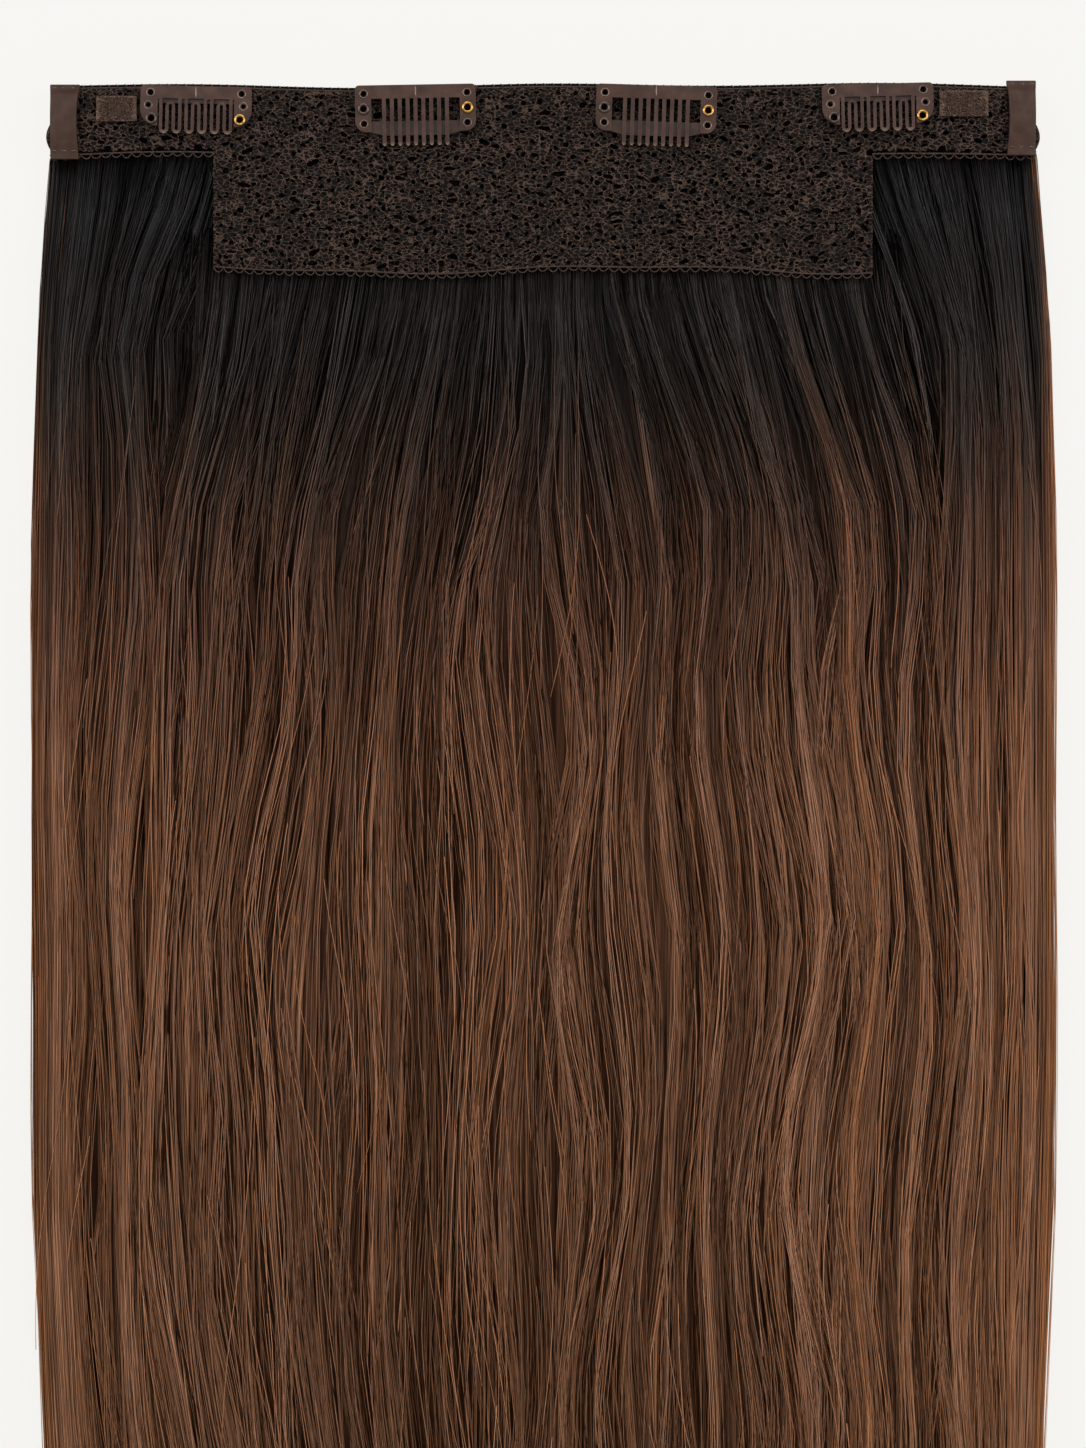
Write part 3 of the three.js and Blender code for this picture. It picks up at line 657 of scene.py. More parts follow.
# Loose strands lie along the face of the hair that rests on the table
UNDER_STRANDS = 280
UNDER_STEPS = 9
UNDER_HEADS = (3, 14)
UNDER_LENGTHS = (LENGTH - 130, LENGTH - 45)
UNDER_WAVE = ((0.3, 1.8), (110, 220))
UNDER_HEIGHTS = (0.3, 0.5)
UNDER_RADII = (0.16, 0.28)
UNDER_TAPER_DROP = LENGTH - 90
UNDER_SHADES = (0.1, 0.7)
under = np.arange(UNDER_STRANDS)
share = either_way(under, LOOSE_REACH)
drop = each(under, *UNDER_HEADS) + np.linspace(0, 1, UNDER_STEPS) * each(under, *UNDER_LENGTHS)
x = hair_x(share, drop, UPPER_FAN)
wave_size = each(under, *UNDER_WAVE[0])
x += wave_size * np.sin(2 * np.pi * drop / each(under, *UNDER_WAVE[1]) + each(under, 0, TURN))
x = np.clip(x, -HALF_WIDTH, HALF_WIDTH)
paths = np.stack([x, TOP - drop, each(under, *UNDER_HEIGHTS) + 0 * drop], axis=2) * MM
taper = np.interp(drop, [0, UNDER_TAPER_DROP, LENGTH], [1, 1, STRAND_TIP])
radii = each(under, *UNDER_RADII) * taper * MM
shade = each(under, *UNDER_SHADES) + 0 * drop
hair_piece("hair_under", paths, radii, shade, either_way(under, STRAND_ROOT))

# Lace base
# A stretch lace of fine nylon thread, cut as a long band with a deeper panel in the middle. It is
# knitted close, with small open holes among it, and its lower edges end in little picot loops.
LACE_TOP = TOP - 2
BAND_END = 149.5
BAND_DEPTH = 20
PANEL_SIDE = 100
PANEL_DEPTH = 55
BAND_HEM = LACE_TOP - BAND_DEPTH
PANEL_HEM = LACE_TOP - PANEL_DEPTH
LACE_MIDDLE = sum(corner.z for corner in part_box("lace_base")) / 2 / MM
CELL_WIDTH = 2.3
CELL_HEIGHT = 0.98
CELL_SHIFT = 0.4
ROW_SHIFT = 0.24
POINT_MARGIN = 2.5 * CELL_WIDTH
CELL_MARGIN = 1.2
THREAD_THICKNESS = 0.4
JOINED_SHARE = 0.08
OPEN_SHARE = 0.7
SMALLEST_HOLE = 1
HOLE_RIMS = [0.15, 0.19, 0.26]
RIM_LIFT = 0.1
TRIM_REACH = 3
HEM_RIPPLES = [
    # size, length, phase
    (1.1, 138, 0.4),
    (0.4, 57, 1.6),
]
LACE_WAVES = [
    # size, run across, run down
    (0.16, 9, 21),
    (0.1, 3.7, -7),
]


def lay_lace(x, y):
    """Moves places on the flat cut lace to where it lies, with its rippled edges and soft waves."""
    depth = (LACE_TOP - y) / PANEL_DEPTH
    lying_y = y + (1 - depth) * ripple(x, TOP_RIPPLES) + depth * ripple(x, HEM_RIPPLES)
    waves = sum(size * np.sin(x / across + y / down) for size, across, down in LACE_WAVES)
    return x, lying_y, LACE_MIDDLE + waves


def on_lace(x, y, margin):
    """True for a place on the flat cut lace, or within a margin outside it."""
    drop = LACE_TOP - y
    in_band = abs(x) < BAND_END + margin and -margin < drop < BAND_DEPTH + margin
    return in_band or (abs(x) < PANEL_SIDE + margin and -margin < drop < PANEL_DEPTH + margin)


# Nylon lace thread, dyed dark brown: dull, with the fine tangle of the knit between the holes.
lace_material, tree, shader = new_material("brown_nylon_lace", Roughness=0.75, Specular_IOR_Level=0.12)
place = add_node(tree, "ShaderNodeTexCoord")
patchy = add_node(tree, "ShaderNodeTexNoise", [(place.outputs["Object"], "Vector")],
                  Scale=1 / (5 * MM), Detail=3)
curls = add_node(tree, "ShaderNodeTexNoise", [(place.outputs["Object"], "Vector")], Scale=1 / (1.1 * MM))
curled = add_node(tree, "ShaderNodeVectorMath", operation="MULTIPLY_ADD", links=[
    (curls.outputs["Color"], 0), (place.outputs["Object"], 2)])
curled.inputs[1].default_value = (1.2 * MM, 1.2 * MM, 0)
stretched = add_node(tree, "ShaderNodeMapping", [(curled.outputs["Vector"], "Vector")],
                     Scale=(1 / (1.9 * MM), 1 / (1.1 * MM), 1 / (1.25 * MM)))
knit = add_node(tree, "ShaderNodeTexVoronoi", [(stretched.outputs["Vector"], "Vector")],
                feature="DISTANCE_TO_EDGE", Scale=1)
twist = add_node(tree, "ShaderNodeTexNoise", [(place.outputs["Object"], "Vector")],
                 Scale=1 / (0.45 * MM), Detail=3, Roughness=0.7)
thread = add_node(tree, "ShaderNodeMapRange", [(knit.outputs["Distance"], "Value")],
                  From_Min=0.05, From_Max=0.15, To_Min=1.0, To_Max=0.0)
twist_share = add_node(tree, "ShaderNodeMapRange", [(twist.outputs["Fac"], "Value")],
                       From_Min=0.3, From_Max=0.7, To_Min=0.5, To_Max=1.2)
rough_thread = add_node(tree, "ShaderNodeMath", operation="MULTIPLY", links=[
    (thread.outputs["Result"], 0), (twist_share.outputs["Result"], 1)])
patch_share = add_node(tree, "ShaderNodeMapRange", [(patchy.outputs["Fac"], "Value")],
                       From_Min=0.3, From_Max=0.7, To_Min=0.75, To_Max=1.1)
patched = add_node(tree, "ShaderNodeMath", operation="MULTIPLY", links=[
    (rough_thread.outputs[0], 0), (patch_share.outputs["Result"], 1)])
# Painted highlight: the threads round the holes and along the edges of the net are lighter
rim = add_node(tree, "ShaderNodeAttribute", attribute_name="rim")
rim_painted_highlight = add_node(tree, "ShaderNodeMath", operation="MULTIPLY_ADD", links=[
    (rim.outputs["Fac"], 0), (patched.outputs[0], 2)])
rim_painted_highlight.inputs[1].default_value = 0.3
thread_colour = add_node(tree, "ShaderNodeValToRGB", [(rim_painted_highlight.outputs[0], "Fac")])
fill_ramp(thread_colour, [(0.0, "040202"), (0.3, "100a08"), (0.6, "291f1a"), (1.0, "564339")])
tree.links.new(thread_colour.outputs["Color"], shader.inputs["Base Color"])
fuzz = add_node(tree, "ShaderNodeBump", [(rough_thread.outputs[0], "Height")],
                Strength=0.8, Distance=0.25 * MM)
tree.links.new(fuzz.outputs["Normal"], shader.inputs["Normal"])

# The net's cells lie round points scattered along rows. A few are joined in pairs. Many are left open
# as holes, though few of them side by side, and none along an edge.
columns = int(2 * BAND_END / CELL_WIDTH) + 6
rows = int(PANEL_DEPTH / CELL_HEIGHT) + 6
points = []
for row in range(rows):
    for column in range(columns):
        x = (column - columns / 2 + row % 2 / 2 + random.uniform(-CELL_SHIFT, CELL_SHIFT)) * CELL_WIDTH
        y = LACE_TOP + (2 - row + random.uniform(-ROW_SHIFT, ROW_SHIFT)) * CELL_HEIGHT
        if on_lace(x, y, POINT_MARGIN):
            points.append(Vector((x, y)))
found, _, triangles, *_ = geometry.delaunay_2d_cdt(points, [], [], 0, 1e-5)
bm = bmesh.new()
knots_of = [[] for _ in found]
for triangle in triangles:
    middle = sum((found[n] for n in triangle), Vector((0, 0))) / 3
    knot = bm.verts.new((*middle, 0))
    for n in triangle:
        knots_of[n].append(knot)
for point, knots in zip(found, knots_of):
    if len(knots) > 2 and on_lace(*point, CELL_MARGIN):
        knots.sort(key=lambda knot: math.atan2(knot.co.y - point.y, knot.co.x - point.x))
        bm.faces.new(knots)
bmesh.ops.delete(bm, geom=[knot for knot in bm.verts if not knot.link_faces], context="VERTS")
upright = [
    edge for edge in bm.edges
    if len(edge.link_faces) == 2
    and abs(edge.verts[0].co.x - edge.verts[1].co.x) < 0.5 * edge.calc_length()
    and random.uniform() < JOINED_SHARE
]
bmesh.ops.dissolve_edges(bm, edges=upright, use_verts=True)


def trim(place, outside, where):
    """Cuts the net along a straight line, on the cells whose middle is where the rule says."""
    cells = [cell for cell in bm.faces if where(cell.calc_center_median())]
    near = dict.fromkeys(element for cell in cells for element in (cell, *cell.edges, *cell.verts))
    bmesh.ops.bisect_plane(bm, geom=list(near), plane_co=place, plane_no=outside, clear_outer=True)


trim((0, LACE_TOP, 0), (0, 1, 0), lambda middle: middle.y > LACE_TOP - TRIM_REACH)
trim((0, PANEL_HEM, 0), (0, -1, 0), lambda middle: middle.y < PANEL_HEM + TRIM_REACH)
for side in (-1, 1):
    trim((side * BAND_END, 0, 0), (side, 0, 0), lambda middle: side * middle.x > BAND_END - TRIM_REACH)
    trim((side * PANEL_SIDE, 0, 0), (side, 0, 0), lambda middle: middle.y < BAND_HEM - 0.5)
trim((0, BAND_HEM, 0), (0, -1, 0), lambda middle: abs(middle.x) > PANEL_SIDE)
for cell in bm.faces:
    cell.tag = False
wide = [cell for cell in bm.faces if cell.calc_area() > SMALLEST_HOLE]
cells = [cell for cell in wide if random.uniform() < OPEN_SHARE]
random.shuffle(cells)
holes = []
for cell in cells:
    beside = [neighbour for edge in cell.edges for neighbour in edge.link_faces]
    if len(beside) == 2 * len(cell.edges) and sum(neighbour.tag for neighbour in beside) < 2:
        cell.tag = True
        holes.append(cell)
for number, thread in enumerate(HOLE_RIMS):
    bmesh.ops.inset_individual(bm, faces=holes[number :: len(HOLE_RIMS)], thickness=thread,
                               depth=RIM_LIFT, use_even_offset=True)
bmesh.ops.delete(bm, geom=holes, context="FACES")
rim_layer = bm.verts.layers.float.new("rim")
for knot in bm.verts:
    knot[rim_layer] = float(knot.is_boundary)
    x, y, z = lay_lace(knot.co.x, knot.co.y)
    knot.co = Vector((x, y, z + knot.co.z)) * MM
lace_net = piece_from("lace_net", bm, lace_material)
wall = lace_net.modifiers.new("thread_thickness", "SOLIDIFY")
wall.thickness = THREAD_THICKNESS * MM
wall.offset = 0
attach(lace_net, "base")
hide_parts("lace_base")

# Edge threads run along the top edge and the hems, and the picot thread loops below the hems.
PICOT_PITCH = 3.1
PICOT_DROP = 1.4
PICOT_STEPS = 8
PICOT_RADIUS = 0.2
PICOT_ROUND = 0.6
HEM_RADIUS = 0.28
EDGE_LIFT = 0.15
EDGE_SIDES = 5
HEMS = [
    # start and end on the flat cut lace
    ((-BAND_END, BAND_HEM), (-PANEL_SIDE, BAND_HEM)),
    ((-PANEL_SIDE, PANEL_HEM), (PANEL_SIDE, PANEL_HEM)),
    ((PANEL_SIDE, BAND_HEM), (BAND_END, BAND_HEM)),
]
TOP_EDGE = ((-BAND_END, LACE_TOP), (BAND_END, LACE_TOP))


def edge_path(start, end, drop=0.0):
    """A path on the lying lace between two places on the flat one, with picot loops if it drops."""
    loops = round(math.dist(start, end) / PICOT_PITCH)
    share = np.linspace(0, 1, loops * PICOT_STEPS + 1)
    x = start[0] + (end[0] - start[0]) * share
    y = start[1] + (end[1] - start[1]) * share
    x, y, z = lay_lace(x, y)
    loop = np.abs(np.sin(np.pi * loops * share)) ** PICOT_ROUND
    uneven = 1 + 0.1 * np.sin(share * loops * 1.9) + 0.08 * np.sin(share * loops * 5.3)
    return np.stack([x, y - drop * loop * uneven, z + EDGE_LIFT], axis=1) * MM


# Twisted edge thread, a little lighter than the net
edge_thread, tree, shader = new_material("brown_nylon_edge_thread", Roughness=0.7,
                                         Specular_IOR_Level=0.25)
place = add_node(tree, "ShaderNodeTexCoord")
twist = add_node(tree, "ShaderNodeTexNoise", [(place.outputs["Object"], "Vector")],
                 Scale=1 / (0.5 * MM), Detail=2)
thread_colour = add_node(tree, "ShaderNodeValToRGB", [(twist.outputs["Fac"], "Fac")])
fill_ramp(thread_colour, [(0.3, "241a16"), (0.7, "4a3a31")])
tree.links.new(thread_colour.outputs["Color"], shader.inputs["Base Color"])
fuzz = add_node(tree, "ShaderNodeBump", [(twist.outputs["Fac"], "Height")],
                Strength=0.5, Distance=0.1 * MM)
tree.links.new(fuzz.outputs["Normal"], shader.inputs["Normal"])

edge_runs = [(edge_path(*edge), HEM_RADIUS) for edge in HEMS + [TOP_EDGE]]
edge_runs += [(edge_path(*edge, PICOT_DROP), PICOT_RADIUS) for edge in HEMS]
lace_edges = []
for number, (path, radius) in enumerate(edge_runs, 1):
    radii = np.full((1, len(path)), radius * MM)
    tube = tubes(path[None], radii, EDGE_SIDES)
    lace_edges.append(mesh_piece(f"lace_edge_{number}", *tube, edge_thread))

# The end of the band is turned under the wire loop, and the rolled fold shows a little beside it
FOLD_STEPS = 12
FOLD_SIDES = 8
FOLD_DROP = 12
FOLD_LENGTH = 9.5
FOLD_RADIUS = 0.3
FOLD_SWELL = 0.9
FOLD_INSET = 0.8
for name, end in [("lace_fold_left", -1), ("lace_fold_right", 1)]:
    share = np.linspace(0, 1, FOLD_STEPS)
    swell = np.sin(np.pi * share)
    x = end * (BAND_END - FOLD_INSET + FOLD_SWELL * swell)
    y = TOP - FOLD_DROP - FOLD_LENGTH * share
    path = np.stack([x, y, np.full(FOLD_STEPS, LACE_MIDDLE)], axis=1) * MM
    radii = (FOLD_RADIUS + FOLD_SWELL * swell) * MM
    lace_edges.append(mesh_piece(name, *tubes(path[None], radii[None], FOLD_SIDES), lace_material))
for edge in lace_edges:
    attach(edge, "base")

# Wire loops
# A strip of smooth brown leather at each end of the band, folded over at its top edge, sewn down
# at its top and bottom and bowed between, so that a wire can pass under it.
TAB_WIDTH = 9
TAB_HEIGHT = 22.6
TAB_THICKNESS = 1.1
TAB_SEWN = 3
TAB_BOW = 1.1
TAB_WAIST = 0.6
TAB_FOLD = 1.9
TAB_FOLD_STEP = 0.35
TAB_CUP = 0.25
TAB_CUP_DROP = 6
TAB_LIFT = 0.25
TAB_EDGE_RADIUS = 0.28
TAB_COLUMNS = 12
TAB_ROWS = 36
TABS = [
    # name, CAD node, x of the middle, y of the top, side of the inner edge
    ("wire_loop_left", "wire_tab_left", -144.8, TOP - 1.2, 1),
    ("wire_loop_right", "wire_tab_right", 144.8, TOP, -1),
]
STITCH_ROWS = [
    # name, drop below the top of the strip, lift on the fold
    ("top", 1.1, 0.25),
    ("bottom", TAB_HEIGHT - 2.5, 0),
]
STITCH_PLACES = (-2.88, 0, 2.88)
STITCH_SHIFT = 0.3
STITCH_SINK = 0.1
STITCH_LENGTH = 1.3
STITCH_RADIUS = 0.15
STITCH_STEPS = 5
STITCH_SIDES = 6
SHARP_ANGLE = 1

# Smooth leather with a fine pebbled grain, slightly worn and lighter in patches
leather, tree, shader = new_material("brown_smooth_leather", Specular_IOR_Level=0.18)
place = add_node(tree, "ShaderNodeTexCoord")
grain = add_node(tree, "ShaderNodeTexVoronoi", [(place.outputs["Object"], "Vector")],
                 feature="DISTANCE_TO_EDGE", Scale=1 / (0.5 * MM))
cloudy = add_node(tree, "ShaderNodeTexNoise", [(place.outputs["Object"], "Vector")],
                  Scale=1 / (3.5 * MM), Detail=4)
leather_colour = add_node(tree, "ShaderNodeValToRGB", [(cloudy.outputs["Fac"], "Fac")])
fill_ramp(leather_colour, [(0.3, "36241d"), (0.5, "3e2b23"), (0.7, "47322a")])
tree.links.new(leather_colour.outputs["Color"], shader.inputs["Base Color"])
polish = add_node(tree, "ShaderNodeMapRange", [(cloudy.outputs["Fac"], "Value")],
                  To_Min=0.42, To_Max=0.62)
tree.links.new(polish.outputs["Result"], shader.inputs["Roughness"])
pebble = add_node(tree, "ShaderNodeBump", [(grain.outputs["Distance"], "Height")],
                  Strength=0.25, Distance=0.08 * MM)
tree.links.new(pebble.outputs["Normal"], shader.inputs["Normal"])

# Twisted sewing thread, a lighter brown, with painted highlight and shade in bands along its twist
sewing_thread, tree, shader = new_material("brown_sewing_thread", Roughness=0.5)
place = add_node(tree, "ShaderNodeTexCoord")
twist = add_node(tree, "ShaderNodeTexWave", [(place.outputs["Object"], "Vector")],
                 bands_direction="DIAGONAL", Scale=1 / (1.2 * MM), Distortion=1)
thread_colour = add_node(tree, "ShaderNodeValToRGB", [(twist.outputs["Fac"], "Fac")])
fill_ramp(thread_colour, [(0.2, "3a2c25"), (0.8, "7d6657")])
tree.links.new(thread_colour.outputs["Color"], shader.inputs["Base Color"])


def stitches(name, places, length, radius, heading=0.0):
    """A row of short thread arcs, each over a place in millimetres, that ride with the lace."""
    along = np.linspace(-0.5, 0.5, STITCH_STEPS)
    arc = np.stack([np.cos(heading) * along * length, np.sin(heading) * along * length,
                    radius * (1.6 - 10 * along**2)], axis=1)
    paths = (np.asarray(places)[:, None, :] + arc[None]) * MM
    radii = np.full(paths.shape[:2], radius * MM)
    row = mesh_piece(name, *tubes(paths, radii, STITCH_SIDES), sewing_thread)
    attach(row, "base")


def round_edges(bm, radius, segments):
    """Turns the faces of a closed slab outwards, and rounds its sharp edges."""
    bmesh.ops.recalc_face_normals(bm, faces=bm.faces[:])
    sharp = [edge for edge in bm.edges if edge.calc_face_angle(0) > SHARP_ANGLE]
    bmesh.ops.bevel(bm, geom=sharp, offset=radius * MM, offset_type="OFFSET", segments=segments,
                    profile=0.5, affect="EDGES", clamp_overlap=True, material=-1)


def tab_bow(drop):
    """How far the strip stands off the lace at a drop below its top edge."""
    share = np.clip((drop - TAB_SEWN) / (TAB_HEIGHT - 2 * TAB_SEWN), 0, 1)
    return TAB_BOW * 4 * share * (1 - share)


for name, node, middle, top, inner in TABS:
    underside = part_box(node)[0].z / MM
    bm = bmesh.new()
    bmesh.ops.create_grid(bm, x_segments=TAB_COLUMNS, y_segments=TAB_ROWS, size=1)
    for vertex in bm.verts:
        drop = (1 - vertex.co.y) / 2 * TAB_HEIGHT
        share = drop / TAB_HEIGHT
        towards_inner = (1 + inner * vertex.co.x) / 2
        drawn_in = TAB_WAIST * 4 * share * (1 - share)
        drawn_in += TAB_FOLD_STEP * min(1, max(0, drop - TAB_FOLD))
        x = middle + vertex.co.x * TAB_WIDTH / 2 - inner * drawn_in * towards_inner
        cupped = TAB_CUP * vertex.co.x**2 * min(1, drop / TAB_CUP_DROP)
        vertex.co = Vector((x, top - drop, underside + tab_bow(drop) - cupped + TAB_LIFT)) * MM
    for vertex in walled_in(bm):
        folded = top - vertex.co.y / MM < TAB_FOLD
        vertex.co.z += (TAB_THICKNESS - TAB_FOLD_STEP * (not folded)) * MM
    round_edges(bm, TAB_EDGE_RADIUS, 3)
    strip = piece_from(name, bm, leather)
    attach(strip, "base")
    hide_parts(node)
    for row, drop, lift in STITCH_ROWS:
        face = underside + TAB_THICKNESS - STITCH_SINK + tab_bow(drop) + lift
        places = [(middle + x - STITCH_SHIFT * inner, top - drop, face) for x in STITCH_PLACES]
        stitches(f"{name}_stitches_{row}", places, STITCH_LENGTH, STITCH_RADIUS)

# Hook-and-loop patches
# A small piece of brown loop tape beside each wire loop: a woven pad with a flat selvedge at its
# two ends, and a fuzz of fine nylon loops between. It is sewn on at its four corners.
PATCHES = [
    # name, CAD node, middle x and y, width, height
    ("loop_patch_left", "patch_left", -129.3, 245.6, 12.4, 7.8),
    ("loop_patch_right", "patch_right", 127.6, 247.2, 15, 7.9),
]
SELVEDGE = 1.3
PAD_THICKNESS = 0.75
PAD_EDGE_RADIUS = 0.22
PAD_COLUMNS = 16
PAD_ROWS = 12
PAD_WAIST = 0.012
PAD_ROUND = 0.03
FUZZ_LOOPS = 600
FUZZ_STEPS = 5
FUZZ_SIDES = 3
FUZZ_MARGIN = 0.5
FUZZ_SPANS = (0.4, 1.3)
FUZZ_RISES = (0.2, 0.45)
FUZZ_RADII = (0.06, 0.12)
FUZZ_SINK = 0.05
CORNER_INSETS = (0.9, 1.1)
CORNER_STITCH = 1.2
CORNER_STITCH_RADIUS = 0.13
CORNER_HEADING = 1.2

# Woven nylon of the pad, with a fine rib, and the same dye on its loops. Its light and dark streaks
# along the rib are partly painted highlight and shade, and partly uneven tone.
pad_weave, tree, shader = new_material("brown_woven_nylon", Roughness=0.85, Specular_IOR_Level=0.2)
place = add_node(tree, "ShaderNodeTexCoord")
ribs = add_node(tree, "ShaderNodeTexWave", [(place.outputs["Object"], "Vector")],
                bands_direction="X", Scale=1 / (2.6 * MM), Distortion=30, Detail=3)
uneven = add_node(tree, "ShaderNodeTexNoise", [(place.outputs["Object"], "Vector")],
                  Scale=1 / (1.2 * MM), Detail=3)
ribs_uneven = add_node(tree, "ShaderNodeMath", operation="MULTIPLY", links=[
    (ribs.outputs["Fac"], 0), (uneven.outputs["Fac"], 1)])
pad_colour = add_node(tree, "ShaderNodeValToRGB", [(ribs_uneven.outputs[0], "Fac")])
fill_ramp(pad_colour, [(0.05, "33261f"), (0.35, "58443a"), (0.7, "7b6353")])
tree.links.new(pad_colour.outputs["Color"], shader.inputs["Base Color"])
rib_bump = add_node(tree, "ShaderNodeBump", [(ribs_uneven.outputs[0], "Height")],
                    Strength=0.5, Distance=0.15 * MM)
tree.links.new(rib_bump.outputs["Normal"], shader.inputs["Normal"])

for name, node, middle_x, middle_y, width, height in PATCHES:
    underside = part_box(node)[0].z / MM
    bm = bmesh.new()
    bmesh.ops.create_grid(bm, x_segments=PAD_COLUMNS, y_segments=PAD_ROWS, size=1)
    for vertex in bm.verts:
        across, up, _ = vertex.co
        x = middle_x + across * width / 2 * (1 - PAD_WAIST * (1 - up * up))
        y = middle_y + up * height / 2 * (1 - PAD_ROUND * across * across)
        vertex.co = Vector((x, y, underside)) * MM
    bmesh.ops.translate(bm, vec=(0, 0, PAD_THICKNESS * MM), verts=walled_in(bm))
    round_edges(bm, PAD_EDGE_RADIUS, 2)
    pad = piece_from(name, bm, pad_weave)
    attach(pad, "base")
    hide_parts(node)

    # Each loop rises from the pad, leans over and comes down a little further on
    root_x = middle_x + random.uniform(-1, 1, FUZZ_LOOPS) * (width / 2 - SELVEDGE)
    root_y = middle_y + random.uniform(-1, 1, FUZZ_LOOPS) * (height / 2 - FUZZ_MARGIN)
    lean = random.uniform(0, 2 * np.pi, FUZZ_LOOPS)
    span = random.uniform(*FUZZ_SPANS, FUZZ_LOOPS)
    rise = random.uniform(*FUZZ_RISES, FUZZ_LOOPS)
    share = np.linspace(0, 1, FUZZ_STEPS)
    x = root_x[:, None] + np.cos(lean)[:, None] * span[:, None] * share
    y = root_y[:, None] + np.sin(lean)[:, None] * span[:, None] * (share - 0.5)
    z = underside + PAD_THICKNESS - FUZZ_SINK + rise[:, None] * np.sin(np.pi * share)
    paths = np.stack([x, y, z], axis=2) * MM
    radii = np.broadcast_to(random.uniform(*FUZZ_RADII, (FUZZ_LOOPS, 1)) * MM, x.shape)
    fuzz = mesh_piece(f"{name}_loops", *tubes(paths, radii, FUZZ_SIDES), pad_weave)
    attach(fuzz, "base")
    corner_x = width / 2 - CORNER_INSETS[0]
    corner_y = height / 2 - CORNER_INSETS[1]
    places = [(middle_x + across * corner_x, middle_y + up * corner_y, underside + PAD_THICKNESS)
              for across in (-1, 1) for up in (-1, 1)]
    stitches(f"{name}_stitches", places, CORNER_STITCH, CORNER_STITCH_RADIUS, CORNER_HEADING)

# Weft seams
# The sewn heads of the hair, under the top edge of the lace: three rolls of close, dark hair, one
# on another, each bound by a slanting thread. They are sewn to the lace above them.
SEAM_RADIUS = 0.92
SEAM_HEIGHTS = [1.15, 2.95, 4.75]
SEAM_INSET = 1.4
SEAM_HALF_WIDTH = 147.5
SEAM_STEPS = 61
SEAM_SIDES = 10
BINDING_PITCH = 2.6
BINDING_MARGIN = 2
BINDING_LEAN = 1.4
BINDING_RADIUS = 0.15
BINDING_SIDES = 4
BINDING_ANGLE = 75

seam_x = np.linspace(-SEAM_HALF_WIDTH, SEAM_HALF_WIDTH, SEAM_STEPS)
seam_y = TOP - SEAM_INSET + ripple(seam_x, TOP_RIPPLES)
rolls = [np.stack([seam_x, seam_y, np.full(SEAM_STEPS, z)], axis=1) for z in SEAM_HEIGHTS]
paths = np.stack(rolls) * MM
radii = np.full(paths.shape[:2], SEAM_RADIUS * MM)
strand_map = np.zeros((len(rolls) * SEAM_STEPS * SEAM_SIDES, 2))
seams = mesh_piece("weft_seams", *tubes(paths, radii, SEAM_SIDES), hair_material, strand_map)
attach(seams, "base")

angle = np.radians(np.linspace(-BINDING_ANGLE, BINDING_ANGLE, STITCH_STEPS))
binding_end = SEAM_HALF_WIDTH - BINDING_MARGIN
binding_x = np.arange(-binding_end, binding_end, BINDING_PITCH)
bindings = []
for number, height in enumerate(SEAM_HEIGHTS):
    x = binding_x[:, None] + BINDING_LEAN * (-1) ** number * np.linspace(-0.5, 0.5, STITCH_STEPS)
    y = TOP - SEAM_INSET + ripple(x, TOP_RIPPLES) + SEAM_RADIUS * np.cos(angle)
    z = height + SEAM_RADIUS * np.sin(angle) + 0 * x
    bindings.append(np.stack([x, y, z], axis=2) * MM)
bindings = np.concatenate(bindings)
radii = np.full(bindings.shape[:2], BINDING_RADIUS * MM)
binding = mesh_piece("weft_seam_thread", *tubes(bindings, radii, BINDING_SIDES), sewing_thread)
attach(binding, "base")

# Snap clips
# Four sprung clips of thin steel, lacquered brown. A frame is sewn to the lace, and a comb plate
# lies on it. A small rivet, and a brass eyelet at the other end, sit in the comb plate.
PLATE_EDGE_RADIUS = 0.36
PLATE_EDGE_ANGLE = 40
PLATE_EDGE_STEPS = 3
CORNER_GAP = 0.01
RING_STEPS = 28
HOLE_RIM_STEPS = 20
HOLE_RIM_SINK = 0.02
CREASE_RADIUS = 0.24
CREASE_TAPER = (0.3, 1, 1, 1, 0.3)
CREASE_SIDES = 8
CREASE_SINK = 0.06
CREASE_FROM = 0.4
CREASE_TO = 4.2
TIP_HIGHLIGHT_LENGTH = 1.4
CLIPS = [
    # number, middle x and y, turn in degrees, width, rims of the other holes as inset and height
    (1, -105.1, 246.1, -1.2, 33.6, [(3, 4), (2.4, 0.2)]),
    (2, -38.6, 245.6, 1, 36.5, [(2.6, 4.5), (2.6, -4.6)]),
    (3, 34.3, 245.4, -1.8, 36.5, [(2.6, 4.5), (2.6, -4.6)]),
    (4, 101.4, 246.9, 1.4, 33.6, [(3, 4), (2.4, 0.2)]),
]


